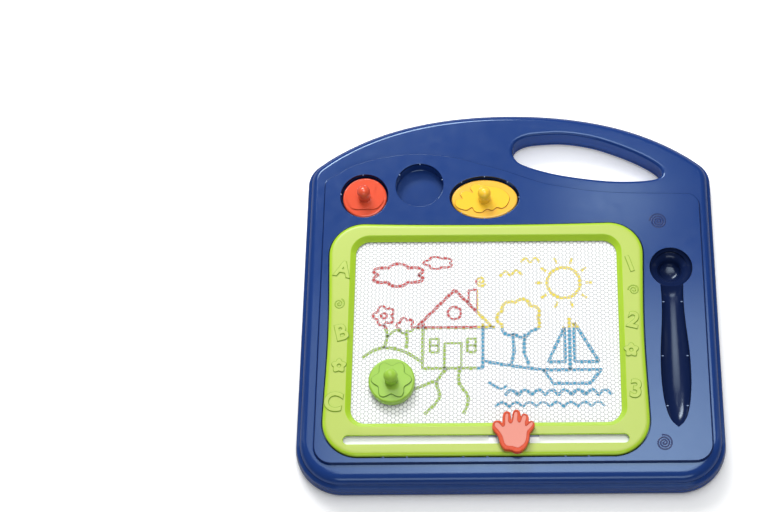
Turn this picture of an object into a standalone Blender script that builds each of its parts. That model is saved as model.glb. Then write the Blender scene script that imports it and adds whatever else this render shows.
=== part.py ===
"""A toy magnetic drawing board: two shells, a framed magnetic screen, a sliding eraser and three stamps.

The board lies on its back. X runs across the board to the right, Y runs up the board
towards the carrying handle, and Z comes out of the drawing side. All sizes are in metres.
"""

import math

import bmesh
import bpy
from mathutils import Matrix, Vector

# General values
CLEARANCE = 0.0003
OVERRUN = 0.002
MERGE = 0.00001
SHARP_ANGLE = math.radians(35)

# The screen: the window that shows, its corners, and the border held under the bezel
WINDOW_WIDTH = 0.2214
WINDOW_HEIGHT = 0.162
WINDOW_CORNER = 0.012
SCREEN_BORDER = 0.006
FILM_THICKNESS = 0.0004
CELL_THICKNESS = 0.0013

# The bezel round the screen: rim widths, plan corners, and how far its sides and top bow in
BEZEL_SIDE = 0.0225
BEZEL_TOP = 0.0155
BEZEL_BOTTOM = 0.0285
BEZEL_TOP_CORNER = 0.029
BEZEL_BOTTOM_CORNER = 0.030
BEZEL_SIDE_HOLLOW = 0.0020
BEZEL_BOW_SHARES = (0.52, 0.42)
BEZEL_TOP_HOLLOW = 0.0014
BEZEL_WALL = 0.0024
BEZEL_PROUD = 0.003
BEZEL_SKIRT_GAP = 0.0008
BEZEL_LIP = 0.0008
BEZEL_INNER_SLOPE = 0.0042
BEZEL_INNER_SLOPE_SHARES = ((1.0, 0.0), (0.8, 0.09), (0.28, 0.72), (0.0, 1.0))
BEZEL_OUTER_SLOPE = 0.0042
BEZEL_SHOULDER = 0.0024

# Plan of the board: margins round the bezel and the shape of its outline
LEFT_MARGIN = 0.0235
BOTTOM_MARGIN = 0.0253
HEAD_HEIGHT = 0.1131
PEN_LEFT_MARGIN = 0.0050
PEN_RIGHT_MARGIN = 0.0221
SHOULDER_RADIUS = 0.024
FOOT_RADIUS = 0.040

# The arch falls with the square and the fourth power of the way out; both as shares of half the width
ARCH_FALL_SHARES = (0.212, 0.110)
ARCH_REACH_SHARE = 0.90

# Thickness of the board: back shell, ledge round the edge, raised panel
SHELL_WALL = 0.0024
BACK_SHELL_HEIGHT = 0.008
BACK_EDGE_WIDTH = 0.002
BACK_EDGE_HEIGHT = 0.003
WIDEST_LEVEL = 0.005
LEDGE_LEVEL = 0.024
PANEL_RAISE = 0.003
PARTING_INSET = 0.0006
RIM_INSET = 0.0024
RIM_LEVEL = 0.015
RIM_STEP_WIDTH = 0.0022
RIM_STEP_HEIGHT = 0.0012
EDGE_ROUND_WIDTH = 0.0064
LEDGE_FOOT_RISE = 0.0032

# Raised panel inside the ledge
PANEL_LEFT_INSET = 0.018
PANEL_RIGHT_INSET = 0.0140
PANEL_BOTTOM_INSET = 0.0208
PANEL_FOOT_CORNER = 0.0142
PANEL_RIGHT_CORNER = 0.010
PANEL_LEFT_CORNER = 0.006
PANEL_SLOPE = 0.0018
PANEL_SLOPE_SHARES = (0.5, 0.6)

# Wave of the panel's top edge, left to right: shares of half the width and of the head's height
PANEL_WAVE_SHARES = (
    (-0.825, 0.443), (-0.775, 0.491), (-0.675, 0.548), (-0.574, 0.581), (-0.459, 0.596),
    (-0.357, 0.586), (-0.249, 0.556), (-0.140, 0.504), (-0.032, 0.453), (0.065, 0.396),
    (0.175, 0.337), (0.284, 0.302), (0.394, 0.274), (0.540, 0.255), (0.686, 0.249),
    (0.832, 0.244),
)
PANEL_CORNER_SHARE = 0.371

# Carrying handle: a slanted lens-shaped hole, placed from the top right of the board
HANDLE_LENGTH = 0.1362
HANDLE_HEIGHT = 0.0522
HANDLE_FROM_RIGHT = 0.0407
HANDLE_FROM_TOP = 0.0217
HANDLE_LIP = 0.003
BACK_HANDLE_LIP = 0.005
INSIDE_SKIN_SHARE = 0.75
HANDLE_OUTLINE_SHARES = (
    (0.000, 0.655), (0.017, 0.790), (0.052, 0.885), (0.118, 0.958), (0.215, 0.990),
    (0.330, 1.000), (0.445, 0.968), (0.570, 0.894), (0.694, 0.775), (0.808, 0.642),
    (0.903, 0.502), (0.968, 0.374), (0.996, 0.262), (0.998, 0.160), (0.975, 0.085),
    (0.932, 0.038), (0.857, 0.010), (0.752, 0.000), (0.628, 0.012), (0.476, 0.059),
    (0.323, 0.129), (0.208, 0.206), (0.113, 0.292), (0.046, 0.385), (0.010, 0.515),
)

# Wells for the stamps, in a row above the bezel
STAMP_RADIUS = 0.019
OVAL_HALF_LENGTH = 0.0285
OVAL_HALF_WIDTH = 0.0187
STAMP_HEIGHT = 0.0085
WELL_GAP = 0.0015
WELL_DEPTH = 0.012
WELL_WALL = 0.0018
WELL_SIDE_MARGIN = 0.0132
WELL_BEZEL_MARGIN = 0.0072
WELL_SPACING = 0.0064
OVAL_WELL_SPACING = 0.0072
MIDDLE_WELL_RISE = 0.0100
OVAL_WELL_RISE = -0.0022

# Stamps: wall, rim round, ball knob, raised picture, magnet and base plate
STAMP_WALL = 0.0018
STAMP_RIM_ROUND = 0.0016
KNOB_FOOT_RADIUS = 0.0061
KNOB_NECK_RADIUS = 0.0054
KNOB_BALL_RADIUS = 0.0057
KNOB_BALL_HEIGHT = 0.0105
KNOB_NECK_LOW_SHARE = 0.25
KNOB_FLARE_SHARE = 0.3
PICTURE_RAISE = 0.0008
PICTURE_MARGIN = 0.0030
STAMP_BASE_THICKNESS = 0.0012
STAMP_MAGNET_THICKNESS = 0.0028
MAGNET_MARGIN = 0.0035
GREEN_STAMP_FROM_LEFT = 0.0335
GREEN_STAMP_FROM_BOTTOM = 0.0347

# Raised pictures, as shares of the half sizes of the disc that carries them
DUCK_SHARES = (
    (-0.94, 0.10), (-0.70, 0.02), (-0.42, 0.16), (-0.12, 0.20), (0.02, 0.42), (-0.04, 0.70),
    (0.16, 0.90), (0.42, 0.88), (0.54, 0.66), (0.80, 0.56), (0.62, 0.44), (0.44, 0.34),
    (0.56, 0.10), (0.84, -0.12), (0.74, -0.46), (0.48, -0.66), (0.00, -0.70), (-0.48, -0.66),
    (-0.78, -0.40),
)
FISH_SHARES = (
    (-0.90, 0.46), (-0.66, 0.30), (-0.44, 0.20), (-0.34, 0.52), (-0.04, 0.66), (0.14, 0.50),
    (0.48, 0.38), (0.78, 0.12), (0.86, -0.12), (0.66, -0.40), (0.36, -0.50), (0.22, -0.72),
    (-0.02, -0.60), (-0.16, -0.72), (-0.36, -0.44), (-0.62, -0.30), (-0.90, -0.44),
    (-0.74, 0.02),
)
FLOWER_PETALS = 6
FLOWER_PETAL_SHARE = 0.13

# Pen well: round head, neck and long belly that runs out in a point
PEN_HEAD_RADIUS = 0.0182
PEN_HEAD_DEPTH = 0.009
PEN_BOWL_RADIUS = 0.0094
PEN_BOWL_DROP = 0.0098
PEN_BOWL_RISE = 0.002
PEN_BELLY_HALF_WIDTH = 0.01245
PEN_LENGTH = 0.1592
PEN_TOP_BELOW_BEZEL_TOP = 0.0232
PEN_DEPTH_SHARE = 0.82
PEN_BELLY_SHARES = (
    (0.00, 0.780), (0.10, 0.742), (0.20, 0.762), (0.30, 0.825), (0.40, 0.908), (0.50, 0.975),
    (0.61, 1.000), (0.72, 0.970), (0.81, 0.878), (0.87, 0.768), (0.92, 0.630), (0.965, 0.400),
    (1.00, 0.045),
)

# Eraser: slot in the bezel, white track under it, carriage, bar, magnet and hand-shaped knob
SLOT_WIDTH = 0.0075
SLOT_END_MARGIN = 0.0175
SLOT_BELOW_WINDOW = 0.0151
ERASER_REST_FROM_CENTRE = 0.0225
STEM_HALF_LENGTH = 0.013
SHOE_HALF_LENGTH = 0.0205
SHOE_THICKNESS = 0.0013
SHOE_OVERLAP = 0.0012
SHOE_CORNER = 0.004
TRACK_THICKNESS = 0.0015
TRACK_END = 0.0010
TRACK_CORNER = 0.012
WEB_THICKNESS = 0.0024
WEB_PLAY = 0.0012
STEM_RISE = 0.001
BAR_HALF_WIDTH = 0.008
BAR_HEIGHT = 0.0064
BAR_WALL = 0.0016
BAR_END_BLOCK = 0.007
TONGUE_THICKNESS = 0.002
TONGUE_LENGTH = 0.0095
BAR_WINDOW_PLAY = 0.0025
ERASER_MAGNET_HALF_WIDTH = 0.005
ERASER_MAGNET_THICKNESS = 0.0022
ERASER_MAGNET_END = 0.0030
ERASER_MAGNET_FILM_GAP = 0.0007
WEB_DEPTH_BELOW_BAR = 0.002

# Hand-shaped knob, outline as shares of its half width and half height
HAND_WIDTH = 0.0352
HAND_HEIGHT = 0.0364
HAND_THICKNESS = 0.006
HAND_ROUND = 0.0013
HAND_RIM = 0.0016
HAND_FACE_DEPTH = 0.0012
HAND_RISE_SHARE = 0.25
HAND_SHARES = (
    (-0.99, 0.30), (-0.90, 0.46), (-0.72, 0.42), (-0.55, 0.34), (-0.56, 0.62), (-0.50, 0.87),
    (-0.32, 0.95), (-0.17, 0.85), (-0.11, 0.70), (-0.04, 0.88), (0.13, 1.00), (0.29, 0.90),
    (0.36, 0.70), (0.44, 0.80), (0.58, 0.85), (0.68, 0.72), (0.68, 0.42), (0.80, 0.46),
    (0.96, 0.42), (0.97, 0.26), (0.86, 0.06), (0.76, -0.14), (0.70, -0.46), (0.56, -0.78),
    (0.32, -0.95), (0.06, -0.97), (-0.22, -0.88), (-0.52, -0.80), (-0.66, -0.56),
    (-0.70, -0.20), (-0.82, 0.06),
)

# Frame that clamps the screen's layers up against the bezel
CLAMP_THICKNESS = 0.0017
CLAMP_SIDE_PLAY = 0.0008
CLAMP_LOWER_PLAY = 0.0007
CLAMP_INSIDE = 0.0010

# Bosses and screws
SHELL_POST_RADIUS = 0.0042
SHELL_POST_SEAT = 0.0100
COUNTERBORE_RADIUS = 0.0034
COUNTERBORE_DEPTH = 0.0060
SHELL_SHANK_LENGTH = 0.0125
BEZEL_POST_RADIUS = 0.0032
BEZEL_SHANK_LENGTH = 0.0085
SMALL_SHANK_LENGTH = 0.0042
SHANK_RADIUS = 0.0013
SHANK_TIP = 0.0012
HEAD_RADIUS = 0.0027
HEAD_HEIGHT_OF_SCREW = 0.0018
HEAD_TOP_SHARE = 0.7
BAR_SCREW_HEAD_RADIUS = 0.0022
TRACK_POST_RADIUS = 0.0021
TRACK_HEAD_RADIUS = 0.0019
TRACK_SHANK_RADIUS = 0.0009
TRACK_SHANK_LENGTH = 0.0026
TRACK_SCREW_SHARES = (-0.84, -0.28, 0.28, 0.84)
BEZEL_SCREWS_A_SIDE = 4
SIDE_SCREW_SHARE = 0.335
TOP_SCREW_SHARE = 0.75
OVAL_SCREW_SHARE = 0.45

# Ribs inside the back shell
RIB_THICKNESS = 0.0018
RIB_HEIGHT = 0.006
RIB_PLACE_SHARES = (0.15, 0.5, 0.85)
RAIL_THICKNESS = 0.003
RAIL_PLAY = 0.0035

# Numbers of steps on round shapes
CORNER_STEPS = 6
SIDE_STEPS = 7
ARCH_STEPS = 16
ROUND_STEPS = 32
SMALL_ROUND_STEPS = 10
SCREW_STEPS = 8
KNOB_STEPS = 16
BALL_STEPS = 7
FILLET_STEPS = 3
RIM_STEPS = 2
CURVE_STEPS = 2
SECTION_STEPS = 8
HEAD_STATIONS = 7

# Places worked out from the sizes above
BEZEL_WIDTH = WINDOW_WIDTH + 2 * BEZEL_SIDE
BEZEL_HEIGHT = WINDOW_HEIGHT + BEZEL_TOP + BEZEL_BOTTOM
PEN_STRIP = PEN_LEFT_MARGIN + 2 * PEN_HEAD_RADIUS + PEN_RIGHT_MARGIN
BOARD_WIDTH = LEFT_MARGIN + BEZEL_WIDTH + PEN_STRIP
BOARD_HEIGHT = BOTTOM_MARGIN + BEZEL_HEIGHT + HEAD_HEIGHT
BOARD_RIGHT = BOARD_WIDTH / 2
BOARD_TOP = BOARD_HEIGHT / 2
BEZEL_LEFT = -BOARD_RIGHT + LEFT_MARGIN
BEZEL_RIGHT = BEZEL_LEFT + BEZEL_WIDTH
BEZEL_LOW = -BOARD_TOP + BOTTOM_MARGIN
BEZEL_HIGH = BEZEL_LOW + BEZEL_HEIGHT
BEZEL_CENTRE_X = (BEZEL_LEFT + BEZEL_RIGHT) / 2
WINDOW_LEFT = BEZEL_LEFT + BEZEL_SIDE
WINDOW_RIGHT = BEZEL_RIGHT - BEZEL_SIDE
WINDOW_LOW = BEZEL_LOW + BEZEL_BOTTOM
WINDOW_HIGH = BEZEL_HIGH - BEZEL_TOP

# Levels, from the back to the front
PANEL_LEVEL = LEDGE_LEVEL + PANEL_RAISE
BEZEL_FACE = PANEL_LEVEL + BEZEL_PROUD
BEZEL_UNDERSIDE = BEZEL_FACE - BEZEL_WALL
SHOE_TOP = BEZEL_UNDERSIDE - CLEARANCE
SHOE_UNDERSIDE = SHOE_TOP - SHOE_THICKNESS
TRACK_TOP = SHOE_UNDERSIDE - CLEARANCE
TRACK_UNDERSIDE = TRACK_TOP - TRACK_THICKNESS
BEZEL_LIP_LEVEL = TRACK_UNDERSIDE + CLEARANCE
FRONT_FILM_TOP = BEZEL_LIP_LEVEL - CLEARANCE
FRONT_FILM_LOW = FRONT_FILM_TOP - FILM_THICKNESS
CELL_TOP = FRONT_FILM_LOW - CLEARANCE
CELL_LOW = CELL_TOP - CELL_THICKNESS
BACK_FILM_TOP = CELL_LOW - CLEARANCE
BACK_FILM_LOW = BACK_FILM_TOP - FILM_THICKNESS
CLAMP_TOP = BACK_FILM_LOW - CLEARANCE
CLAMP_LOW = CLAMP_TOP - CLAMP_THICKNESS
RECESS_LEVEL = CLAMP_LOW - CLEARANCE
RECESS_UNDERSIDE = RECESS_LEVEL - SHELL_WALL
WELL_LEVEL = PANEL_LEVEL - WELL_DEPTH
FRONT_SHELL_LOW = BACK_SHELL_HEIGHT + CLEARANCE
STEP_LEVEL = RIM_LEVEL + RIM_STEP_HEIGHT
STEP_INSET = RIM_INSET + RIM_STEP_WIDTH
LEDGE_EDGE_INSET = STEP_INSET + EDGE_ROUND_WIDTH
POST_SEAT_GAP = SHELL_POST_SEAT + CLEARANCE
MAGNET_TOP = BACK_FILM_LOW - ERASER_MAGNET_FILM_GAP
MAGNET_LOW = MAGNET_TOP - ERASER_MAGNET_THICKNESS
BAR_TOP = MAGNET_LOW - CLEARANCE
BAR_LOW = BAR_TOP - BAR_HEIGHT
TONGUE_TOP = RECESS_UNDERSIDE - CLEARANCE
TONGUE_LOW = TONGUE_TOP - TONGUE_THICKNESS
RAIL_TOP = TONGUE_LOW - CLEARANCE
HAND_LOW = BEZEL_FACE + STEM_RISE + CLEARANCE
HAND_TOP = HAND_LOW + HAND_THICKNESS

# Eraser places
SLOT_Y = WINDOW_LOW - SLOT_BELOW_WINDOW
SLOT_HALF_LENGTH = BEZEL_WIDTH / 2 - SLOT_END_MARGIN
ERASER_X = BEZEL_CENTRE_X + ERASER_REST_FROM_CENTRE
SCREEN_LOW = WINDOW_LOW - SCREEN_BORDER
CLAMP_LOWER_EDGE = SCREEN_LOW - CLEARANCE
WEB_HIGH_Y = CLAMP_LOWER_EDGE - CLAMP_LOWER_PLAY
WEB_LOW_Y = WEB_HIGH_Y - WEB_THICKNESS
RECESS_OPENING_LOW = WEB_LOW_Y - WEB_PLAY
STEM_HALF_WIDTH = SLOT_WIDTH / 2 - CLEARANCE
SHOE_LOW_Y = SLOT_Y - SLOT_WIDTH / 2 - SHOE_OVERLAP
TRACK_LOW_Y = SHOE_LOW_Y - CLEARANCE - 2 * TRACK_POST_RADIUS - CLEARANCE
TRACK_POST_Y = SHOE_LOW_Y - CLEARANCE - TRACK_POST_RADIUS
BAR_HIGH_Y = WINDOW_HIGH + CLEARANCE
RECESS_OPENING_HIGH = BAR_HIGH_Y + BAR_WINDOW_PLAY

# Stamp places
WELL_RADIUS = STAMP_RADIUS + WELL_GAP
PANEL_LEFT = -BOARD_RIGHT + PANEL_LEFT_INSET
RED_WELL = (PANEL_LEFT + WELL_SIDE_MARGIN + WELL_RADIUS, BEZEL_HIGH + WELL_BEZEL_MARGIN + WELL_RADIUS)
EMPTY_WELL = (RED_WELL[0] + 2 * WELL_RADIUS + WELL_SPACING, RED_WELL[1] + MIDDLE_WELL_RISE)
OVAL_WELL = (
    EMPTY_WELL[0] + WELL_RADIUS + OVAL_WELL_SPACING + OVAL_HALF_LENGTH,
    RED_WELL[1] + OVAL_WELL_RISE,
)
GREEN_PLACE = (WINDOW_LEFT + GREEN_STAMP_FROM_LEFT, WINDOW_LOW + GREEN_STAMP_FROM_BOTTOM)

# Pen well places
PEN_X = BEZEL_RIGHT + PEN_LEFT_MARGIN + PEN_HEAD_RADIUS
PEN_TOP = BEZEL_HIGH - PEN_TOP_BELOW_BEZEL_TOP
PEN_HEAD_Y = PEN_TOP - PEN_HEAD_RADIUS
PEN_TIP_Y = PEN_TOP - PEN_LENGTH
PEN_BOWL_CENTRE = (PEN_X, PEN_HEAD_Y + PEN_BOWL_RISE, PANEL_LEVEL - PEN_BOWL_DROP)

MATERIALS = {
    "blue_shell": ((0.030, 0.075, 0.300), 0.28),
    "lime_bezel": ((0.560, 0.760, 0.120), 0.30),
    "clear_film": ((0.900, 0.920, 0.930), 0.10),
    "white_cell": ((0.880, 0.880, 0.880), 0.45),
    "white_plastic": ((0.900, 0.900, 0.900), 0.40),
    "grey_plastic": ((0.320, 0.330, 0.430), 0.40),
    "red_plastic": ((0.860, 0.110, 0.055), 0.30),
    "salmon_plastic": ((0.890, 0.350, 0.280), 0.40),
    "yellow_plastic": ((0.980, 0.620, 0.060), 0.30),
    "green_plastic": ((0.380, 0.640, 0.110), 0.30),
    "magnet": ((0.080, 0.080, 0.085), 0.60),
    "steel": ((0.560, 0.570, 0.580), 0.35),
}


def collection(name):
    """A new collection linked to the scene."""
    made = bpy.data.collections.new(name)
    bpy.context.scene.collection.children.link(made)
    return made


def material(name):
    """The Principled material of that name, made the first time it is asked for."""
    found = bpy.data.materials.get(name)
    if found:
        return found
    colour, roughness = MATERIALS[name]
    made = bpy.data.materials.new(name)
    made.use_nodes = True
    shader = made.node_tree.nodes["Principled BSDF"]
    shader.inputs["Base Color"].default_value = (*colour, 1.0)
    shader.inputs["Roughness"].default_value = roughness
    shader.inputs["Metallic"].default_value = 1.0 if name == "steel" else 0.0
    return made


def ellipse(centre, half_length, half_width, steps=ROUND_STEPS):
    """A closed ellipse, or a circle where both halves are the same."""
    return [
        (
            centre[0] + half_length * math.cos(math.tau * step / steps),
            centre[1] + half_width * math.sin(math.tau * step / steps),
        )
        for step in range(steps)
    ]


def smooth_through(points, steps, closed=True):
    """A Catmull-Rom curve through the points, with that many steps to a span."""
    count = len(points)
    spans = count if closed else count - 1
    curve = []
    for span in range(spans):
        near = [
            points[(span + k) % count] if closed else points[min(max(span + k, 0), count - 1)]
            for k in (-1, 0, 1, 2)
        ]
        before, start, end, after = (Vector(p) for p in near)
        for step in range(steps):
            t = step / steps
            place = start + (end - before) * (t / 2)
            place += (before * 2 - start * 5 + end * 4 - after) * (t * t / 2)
            place += (start * 3 - before - end * 3 + after) * (t * t * t / 2)
            curve.append(tuple(place))
    if not closed:
        curve.append(tuple(points[-1]))
    return curve


def scaled_outline(shares, centre, half_length, half_width):
    """A smooth closed outline from shares of its half sizes."""
    points = [(centre[0] + x * half_length, centre[1] + y * half_width) for x, y in shares]
    return smooth_through(points, CURVE_STEPS)


def grown(outline, distance):
    """The counter-clockwise outline moved outwards by a distance, or inwards where it is negative."""
    moved = []
    for index, point in enumerate(outline):
        here = Vector(point)
        arrive = (here - Vector(outline[index - 1])).normalized()
        leave = (Vector(outline[(index + 1) % len(outline)]) - here).normalized()
        before = Vector((arrive.y, -arrive.x))
        after = Vector((leave.y, -leave.x))
        moved.append(tuple(here + (before + after) * (distance / (1 + before.dot(after)))))
    return moved


def rounded_polygon(corners, corner_steps=CORNER_STEPS, side_steps=1):
    """A counter-clockwise polygon of (x, y, radius) corners, with an arc where a radius is given."""
    points = []
    count = len(corners)
    for index, (x, y, radius) in enumerate(corners):
        here = Vector((x, y))
        if not radius:
            points.append(tuple(here))
            continue
        before = (Vector(corners[index - 1][:2]) - here).normalized()
        after = (Vector(corners[(index + 1) % count][:2]) - here).normalized()
        half = before.angle(after) / 2
        centre = here + (before + after).normalized() * (radius / math.sin(half))
        first = here + before * (radius / math.tan(half)) - centre
        turn = math.pi - 2 * half
        for step in range(corner_steps + 1):
            swung = first.copy()
            swung.rotate(Matrix.Rotation(turn * step / corner_steps, 2))
            points.append(tuple(centre + swung))
    if side_steps == 1:
        return points
    divided = []
    for index, point in enumerate(points):
        divided.append(point)
        if (index + 1) % (corner_steps + 1) == 0:
            start, end = Vector(point), Vector(points[(index + 1) % len(points)])
            divided += [tuple(start.lerp(end, s / side_steps)) for s in range(1, side_steps)]
    return divided


def rounded_box(left, right, low, high, low_radius, high_radius=None, side_steps=1):
    """A rectangle with round corners."""
    high_radius = low_radius if high_radius is None else high_radius
    corners = [
        (left, low, low_radius),
        (right, low, low_radius),
        (right, high, high_radius),
        (left, high, high_radius),
    ]
    return rounded_polygon(corners, side_steps=side_steps)


def board_outline(foot_rise=0):
    """Plan of the whole board: straight sides, round feet and shoulders, and an arched top."""
    square, fourth = ARCH_FALL_SHARES
    low = -BOARD_TOP + foot_rise
    shoulder_y = BOARD_TOP - BOARD_RIGHT * (square + fourth)
    corners = [
        (-BOARD_RIGHT, low, FOOT_RADIUS),
        (BOARD_RIGHT, low, FOOT_RADIUS),
        (BOARD_RIGHT, shoulder_y, SHOULDER_RADIUS),
    ]
    for step in range(ARCH_STEPS + 1):
        share = ARCH_REACH_SHARE * (1 - 2 * step / ARCH_STEPS)
        fall = square * share**2 + fourth * share**4
        corners.append((BOARD_RIGHT * share, BOARD_TOP - BOARD_RIGHT * fall, 0))
    corners.append((-BOARD_RIGHT, shoulder_y, SHOULDER_RADIUS))
    return rounded_polygon(corners)


def panel_outline():
    """Plan of the raised panel's flat top: it follows the sides and foot, and waves along its top edge."""
    right = BOARD_RIGHT - PANEL_RIGHT_INSET
    low = -BOARD_TOP + PANEL_BOTTOM_INSET
    wave = [(x * BOARD_RIGHT, BEZEL_HIGH + y * HEAD_HEIGHT) for x, y in PANEL_WAVE_SHARES]
    wave = smooth_through(wave, CURVE_STEPS, closed=False)
    corners = [
        (PANEL_LEFT, low, PANEL_FOOT_CORNER),
        (right, low, PANEL_FOOT_CORNER),
        (right, wave[-1][1], PANEL_RIGHT_CORNER),
    ]
    corners += [(x, y, 0) for x, y in reversed(wave)]
    corners.append((PANEL_LEFT, BEZEL_HIGH + PANEL_CORNER_SHARE * HEAD_HEIGHT, PANEL_LEFT_CORNER))
    return rounded_polygon(corners)


def bezel_outline():
    """Plan of the bezel: a rectangle with generous corners, its sides and top bowed in a little."""
    plain = rounded_box(
        BEZEL_LEFT, BEZEL_RIGHT, BEZEL_LOW, BEZEL_HIGH, BEZEL_BOTTOM_CORNER, BEZEL_TOP_CORNER, SIDE_STEPS
    )
    half_run = BEZEL_WIDTH / 2 - BEZEL_TOP_CORNER
    high = BEZEL_HIGH - BEZEL_TOP_CORNER
    middle, reach = BEZEL_BOW_SHARES
    points = []
    for x, y in plain:
        away = ((y - BEZEL_LOW) / BEZEL_HEIGHT - middle) / reach
        side_pull = BEZEL_SIDE_HOLLOW * max(0, 1 - away**2) ** 2
        along_top = (x - BEZEL_CENTRE_X) / half_run
        top_pull = BEZEL_TOP_HOLLOW * max(0, 1 - along_top**2)
        x -= math.copysign(side_pull, x - BEZEL_CENTRE_X)
        y -= top_pull if y > high else 0
        points.append((x, y))
    return points


def window_outline():
    """Plan of the bezel's window, with as many points as the bezel's own outline."""
    return rounded_box(
        WINDOW_LEFT, WINDOW_RIGHT, WINDOW_LOW, WINDOW_HIGH, WINDOW_CORNER, side_steps=SIDE_STEPS
    )


def screen_outline():
    """Plan of the screen's layers, which reach under the bezel."""
    return grown(window_outline(), SCREEN_BORDER)


def handle_outline():
    """Plan of the hole of the carrying handle."""
    left = BOARD_RIGHT - HANDLE_FROM_RIGHT - HANDLE_LENGTH
    low = BOARD_TOP - HANDLE_FROM_TOP - HANDLE_HEIGHT
    points = [(left + x * HANDLE_LENGTH, low + y * HANDLE_HEIGHT) for x, y in HANDLE_OUTLINE_SHARES]
    return list(reversed(smooth_through(points, CURVE_STEPS)))


def hand_outline():
    """Plan of the hand-shaped knob, palm over the slot and fingers up the board."""
    centre = (ERASER_X, SLOT_Y + HAND_RISE_SHARE * HAND_HEIGHT / 2)
    return list(reversed(scaled_outline(HAND_SHARES, centre, HAND_WIDTH / 2, HAND_HEIGHT / 2)))


def flower_outline(centre, radius):
    """A flower with round petals."""
    points = []
    steps = FLOWER_PETALS * SMALL_ROUND_STEPS
    for step in range(steps):
        angle = math.tau * step / steps
        reach = radius * (1 - FLOWER_PETAL_SHARE * (1 - math.cos(FLOWER_PETALS * angle)))
        points.append((centre[0] + reach * math.cos(angle), centre[1] + reach * math.sin(angle)))
    return points


def new_object(name, bm, where):
    """An object from a bmesh, smooth shaded with sharp edges kept."""
    mesh = bpy.data.meshes.new(name)
    bm.to_mesh(mesh)
    bm.free()
    mesh.shade_smooth()
    mesh.set_sharp_from_angle(angle=SHARP_ANGLE)
    made = bpy.data.objects.new(name, mesh)
    where.objects.link(made)
    if where is CUTTERS:
        made.hide_render = True
        made.display_type = "WIRE"
    return made


def loft(name, sections, where, closed=False):
    """A solid skinned through sections of equally many points, capped at both ends or closed on itself."""
    bm = bmesh.new()
    loops = [[bm.verts.new(point) for point in section] for section in sections]
    pairs = list(zip(loops, loops[1:]))
    if closed:
        pairs.append((loops[-1], loops[0]))
    else:
        bm.faces.new(reversed(loops[0]))
        bm.faces.new(loops[-1])
    for lower, upper in pairs:
        for index in range(len(lower)):
            following = (index + 1) % len(lower)
            bm.faces.new((lower[index], lower[following], upper[following], upper[index]))
    return new_object(name, bm, where)


def level(outline, height):
    """The outline as points at one height."""
    return [(x, y, height) for x, y in outline]


def stack(name, outline, steps, where):
    """A solid from one outline: each step is how far it is grown, and its height."""
    return loft(name, [level(grown(outline, growth), height) for growth, height in steps], where)


def slab(name, outline, low, high, where):
    """A flat piece: a filled 2D curve extruded by half its thickness each way, made a mesh."""
    curve = bpy.data.curves.new(name, "CURVE")
    curve.dimensions = "2D"
    curve.fill_mode = "BOTH"
    curve.extrude = (high - low) / 2
    spline = curve.splines.new("POLY")
    spline.points.add(len(outline) - 1)
    for point, (x, y) in zip(spline.points, outline):
        point.co = (x, y, 0, 1)
    spline.use_cyclic_u = True
    flat = bpy.data.objects.new(name + "_curve", curve)
    flat.location.z = (low + high) / 2
    bpy.context.scene.collection.objects.link(flat)
    bpy.context.view_layer.update()
    graph = bpy.context.evaluated_depsgraph_get()
    mesh = bpy.data.meshes.new_from_object(flat.evaluated_get(graph))
    bm = bmesh.new()
    bm.from_mesh(mesh)
    bmesh.ops.remove_doubles(bm, verts=bm.verts, dist=MERGE)
    bmesh.ops.recalc_face_normals(bm, faces=bm.faces)
    bm.transform(flat.matrix_world)
    bpy.data.objects.remove(flat)
    bpy.data.meshes.remove(mesh)
    return new_object(name, bm, where)


def block(name, low_corner, high_corner, where):
    """A box between two corners, from a cube primitive."""
    low, high = Vector(low_corner), Vector(high_corner)
    bm = bmesh.new()
    bmesh.ops.create_cube(bm, size=1.0)
    bmesh.ops.scale(bm, vec=high - low, verts=bm.verts)
    bmesh.ops.translate(bm, vec=(low + high) / 2, verts=bm.verts)
    return new_object(name, bm, where)


def rod(name, centre, radius, low, high, where, steps=SMALL_ROUND_STEPS):
    """An upright cylinder, from a primitive."""
    bm = bmesh.new()
    bmesh.ops.create_cone(
        bm, cap_ends=True, segments=steps, radius1=radius, radius2=radius, depth=high - low
    )
    bmesh.ops.translate(bm, vec=(centre[0], centre[1], (low + high) / 2), verts=bm.verts)
    return new_object(name, bm, where)


def ball(name, centre, radius, where):
    """A sphere, from a primitive."""
    bm = bmesh.new()
    bmesh.ops.create_uvsphere(bm, u_segments=KNOB_STEPS, v_segments=KNOB_STEPS // 2, radius=radius)
    bmesh.ops.translate(bm, vec=centre, verts=bm.verts)
    return new_object(name, bm, where)


def turned(name, profile, centre, where, steps=KNOB_STEPS):
    """A solid of revolution: the profile runs down from the top of its axis to the bottom."""
    mesh = bpy.data.meshes.new(name)
    edges = [(index, index + 1) for index in range(len(profile) - 1)]
    mesh.from_pydata([(radius, 0, height) for radius, height in profile], edges, [])
    made = bpy.data.objects.new(name, mesh)
    where.objects.link(made)
    made.location = (centre[0], centre[1], 0)
    turn = made.modifiers.new("turn", "SCREW")
    turn.steps = steps
    turn.render_steps = steps
    turn.use_merge_vertices = True
    turn.merge_threshold = MERGE
    turn.use_smooth_shade = True
    if where is CUTTERS:
        made.hide_render = True
        made.display_type = "WIRE"
    return made


def boolean(body, others, operation):
    """Adds one Boolean modifier for each other solid."""
    for other in others:
        modifier = body.modifiers.new(operation.lower(), "BOOLEAN")
        modifier.operation = operation
        modifier.solver = "EXACT"
        modifier.object = other


def join(body, *others):
    """Unites solids with the body."""
    boolean(body, others, "UNION")


def cut(body, *others):
    """Takes solids away from the body."""
    boolean(body, others, "DIFFERENCE")


def finish(body, name):
    """Gives the body its material."""
    body.data.materials.clear()
    body.data.materials.append(material(name))
    return body


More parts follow.
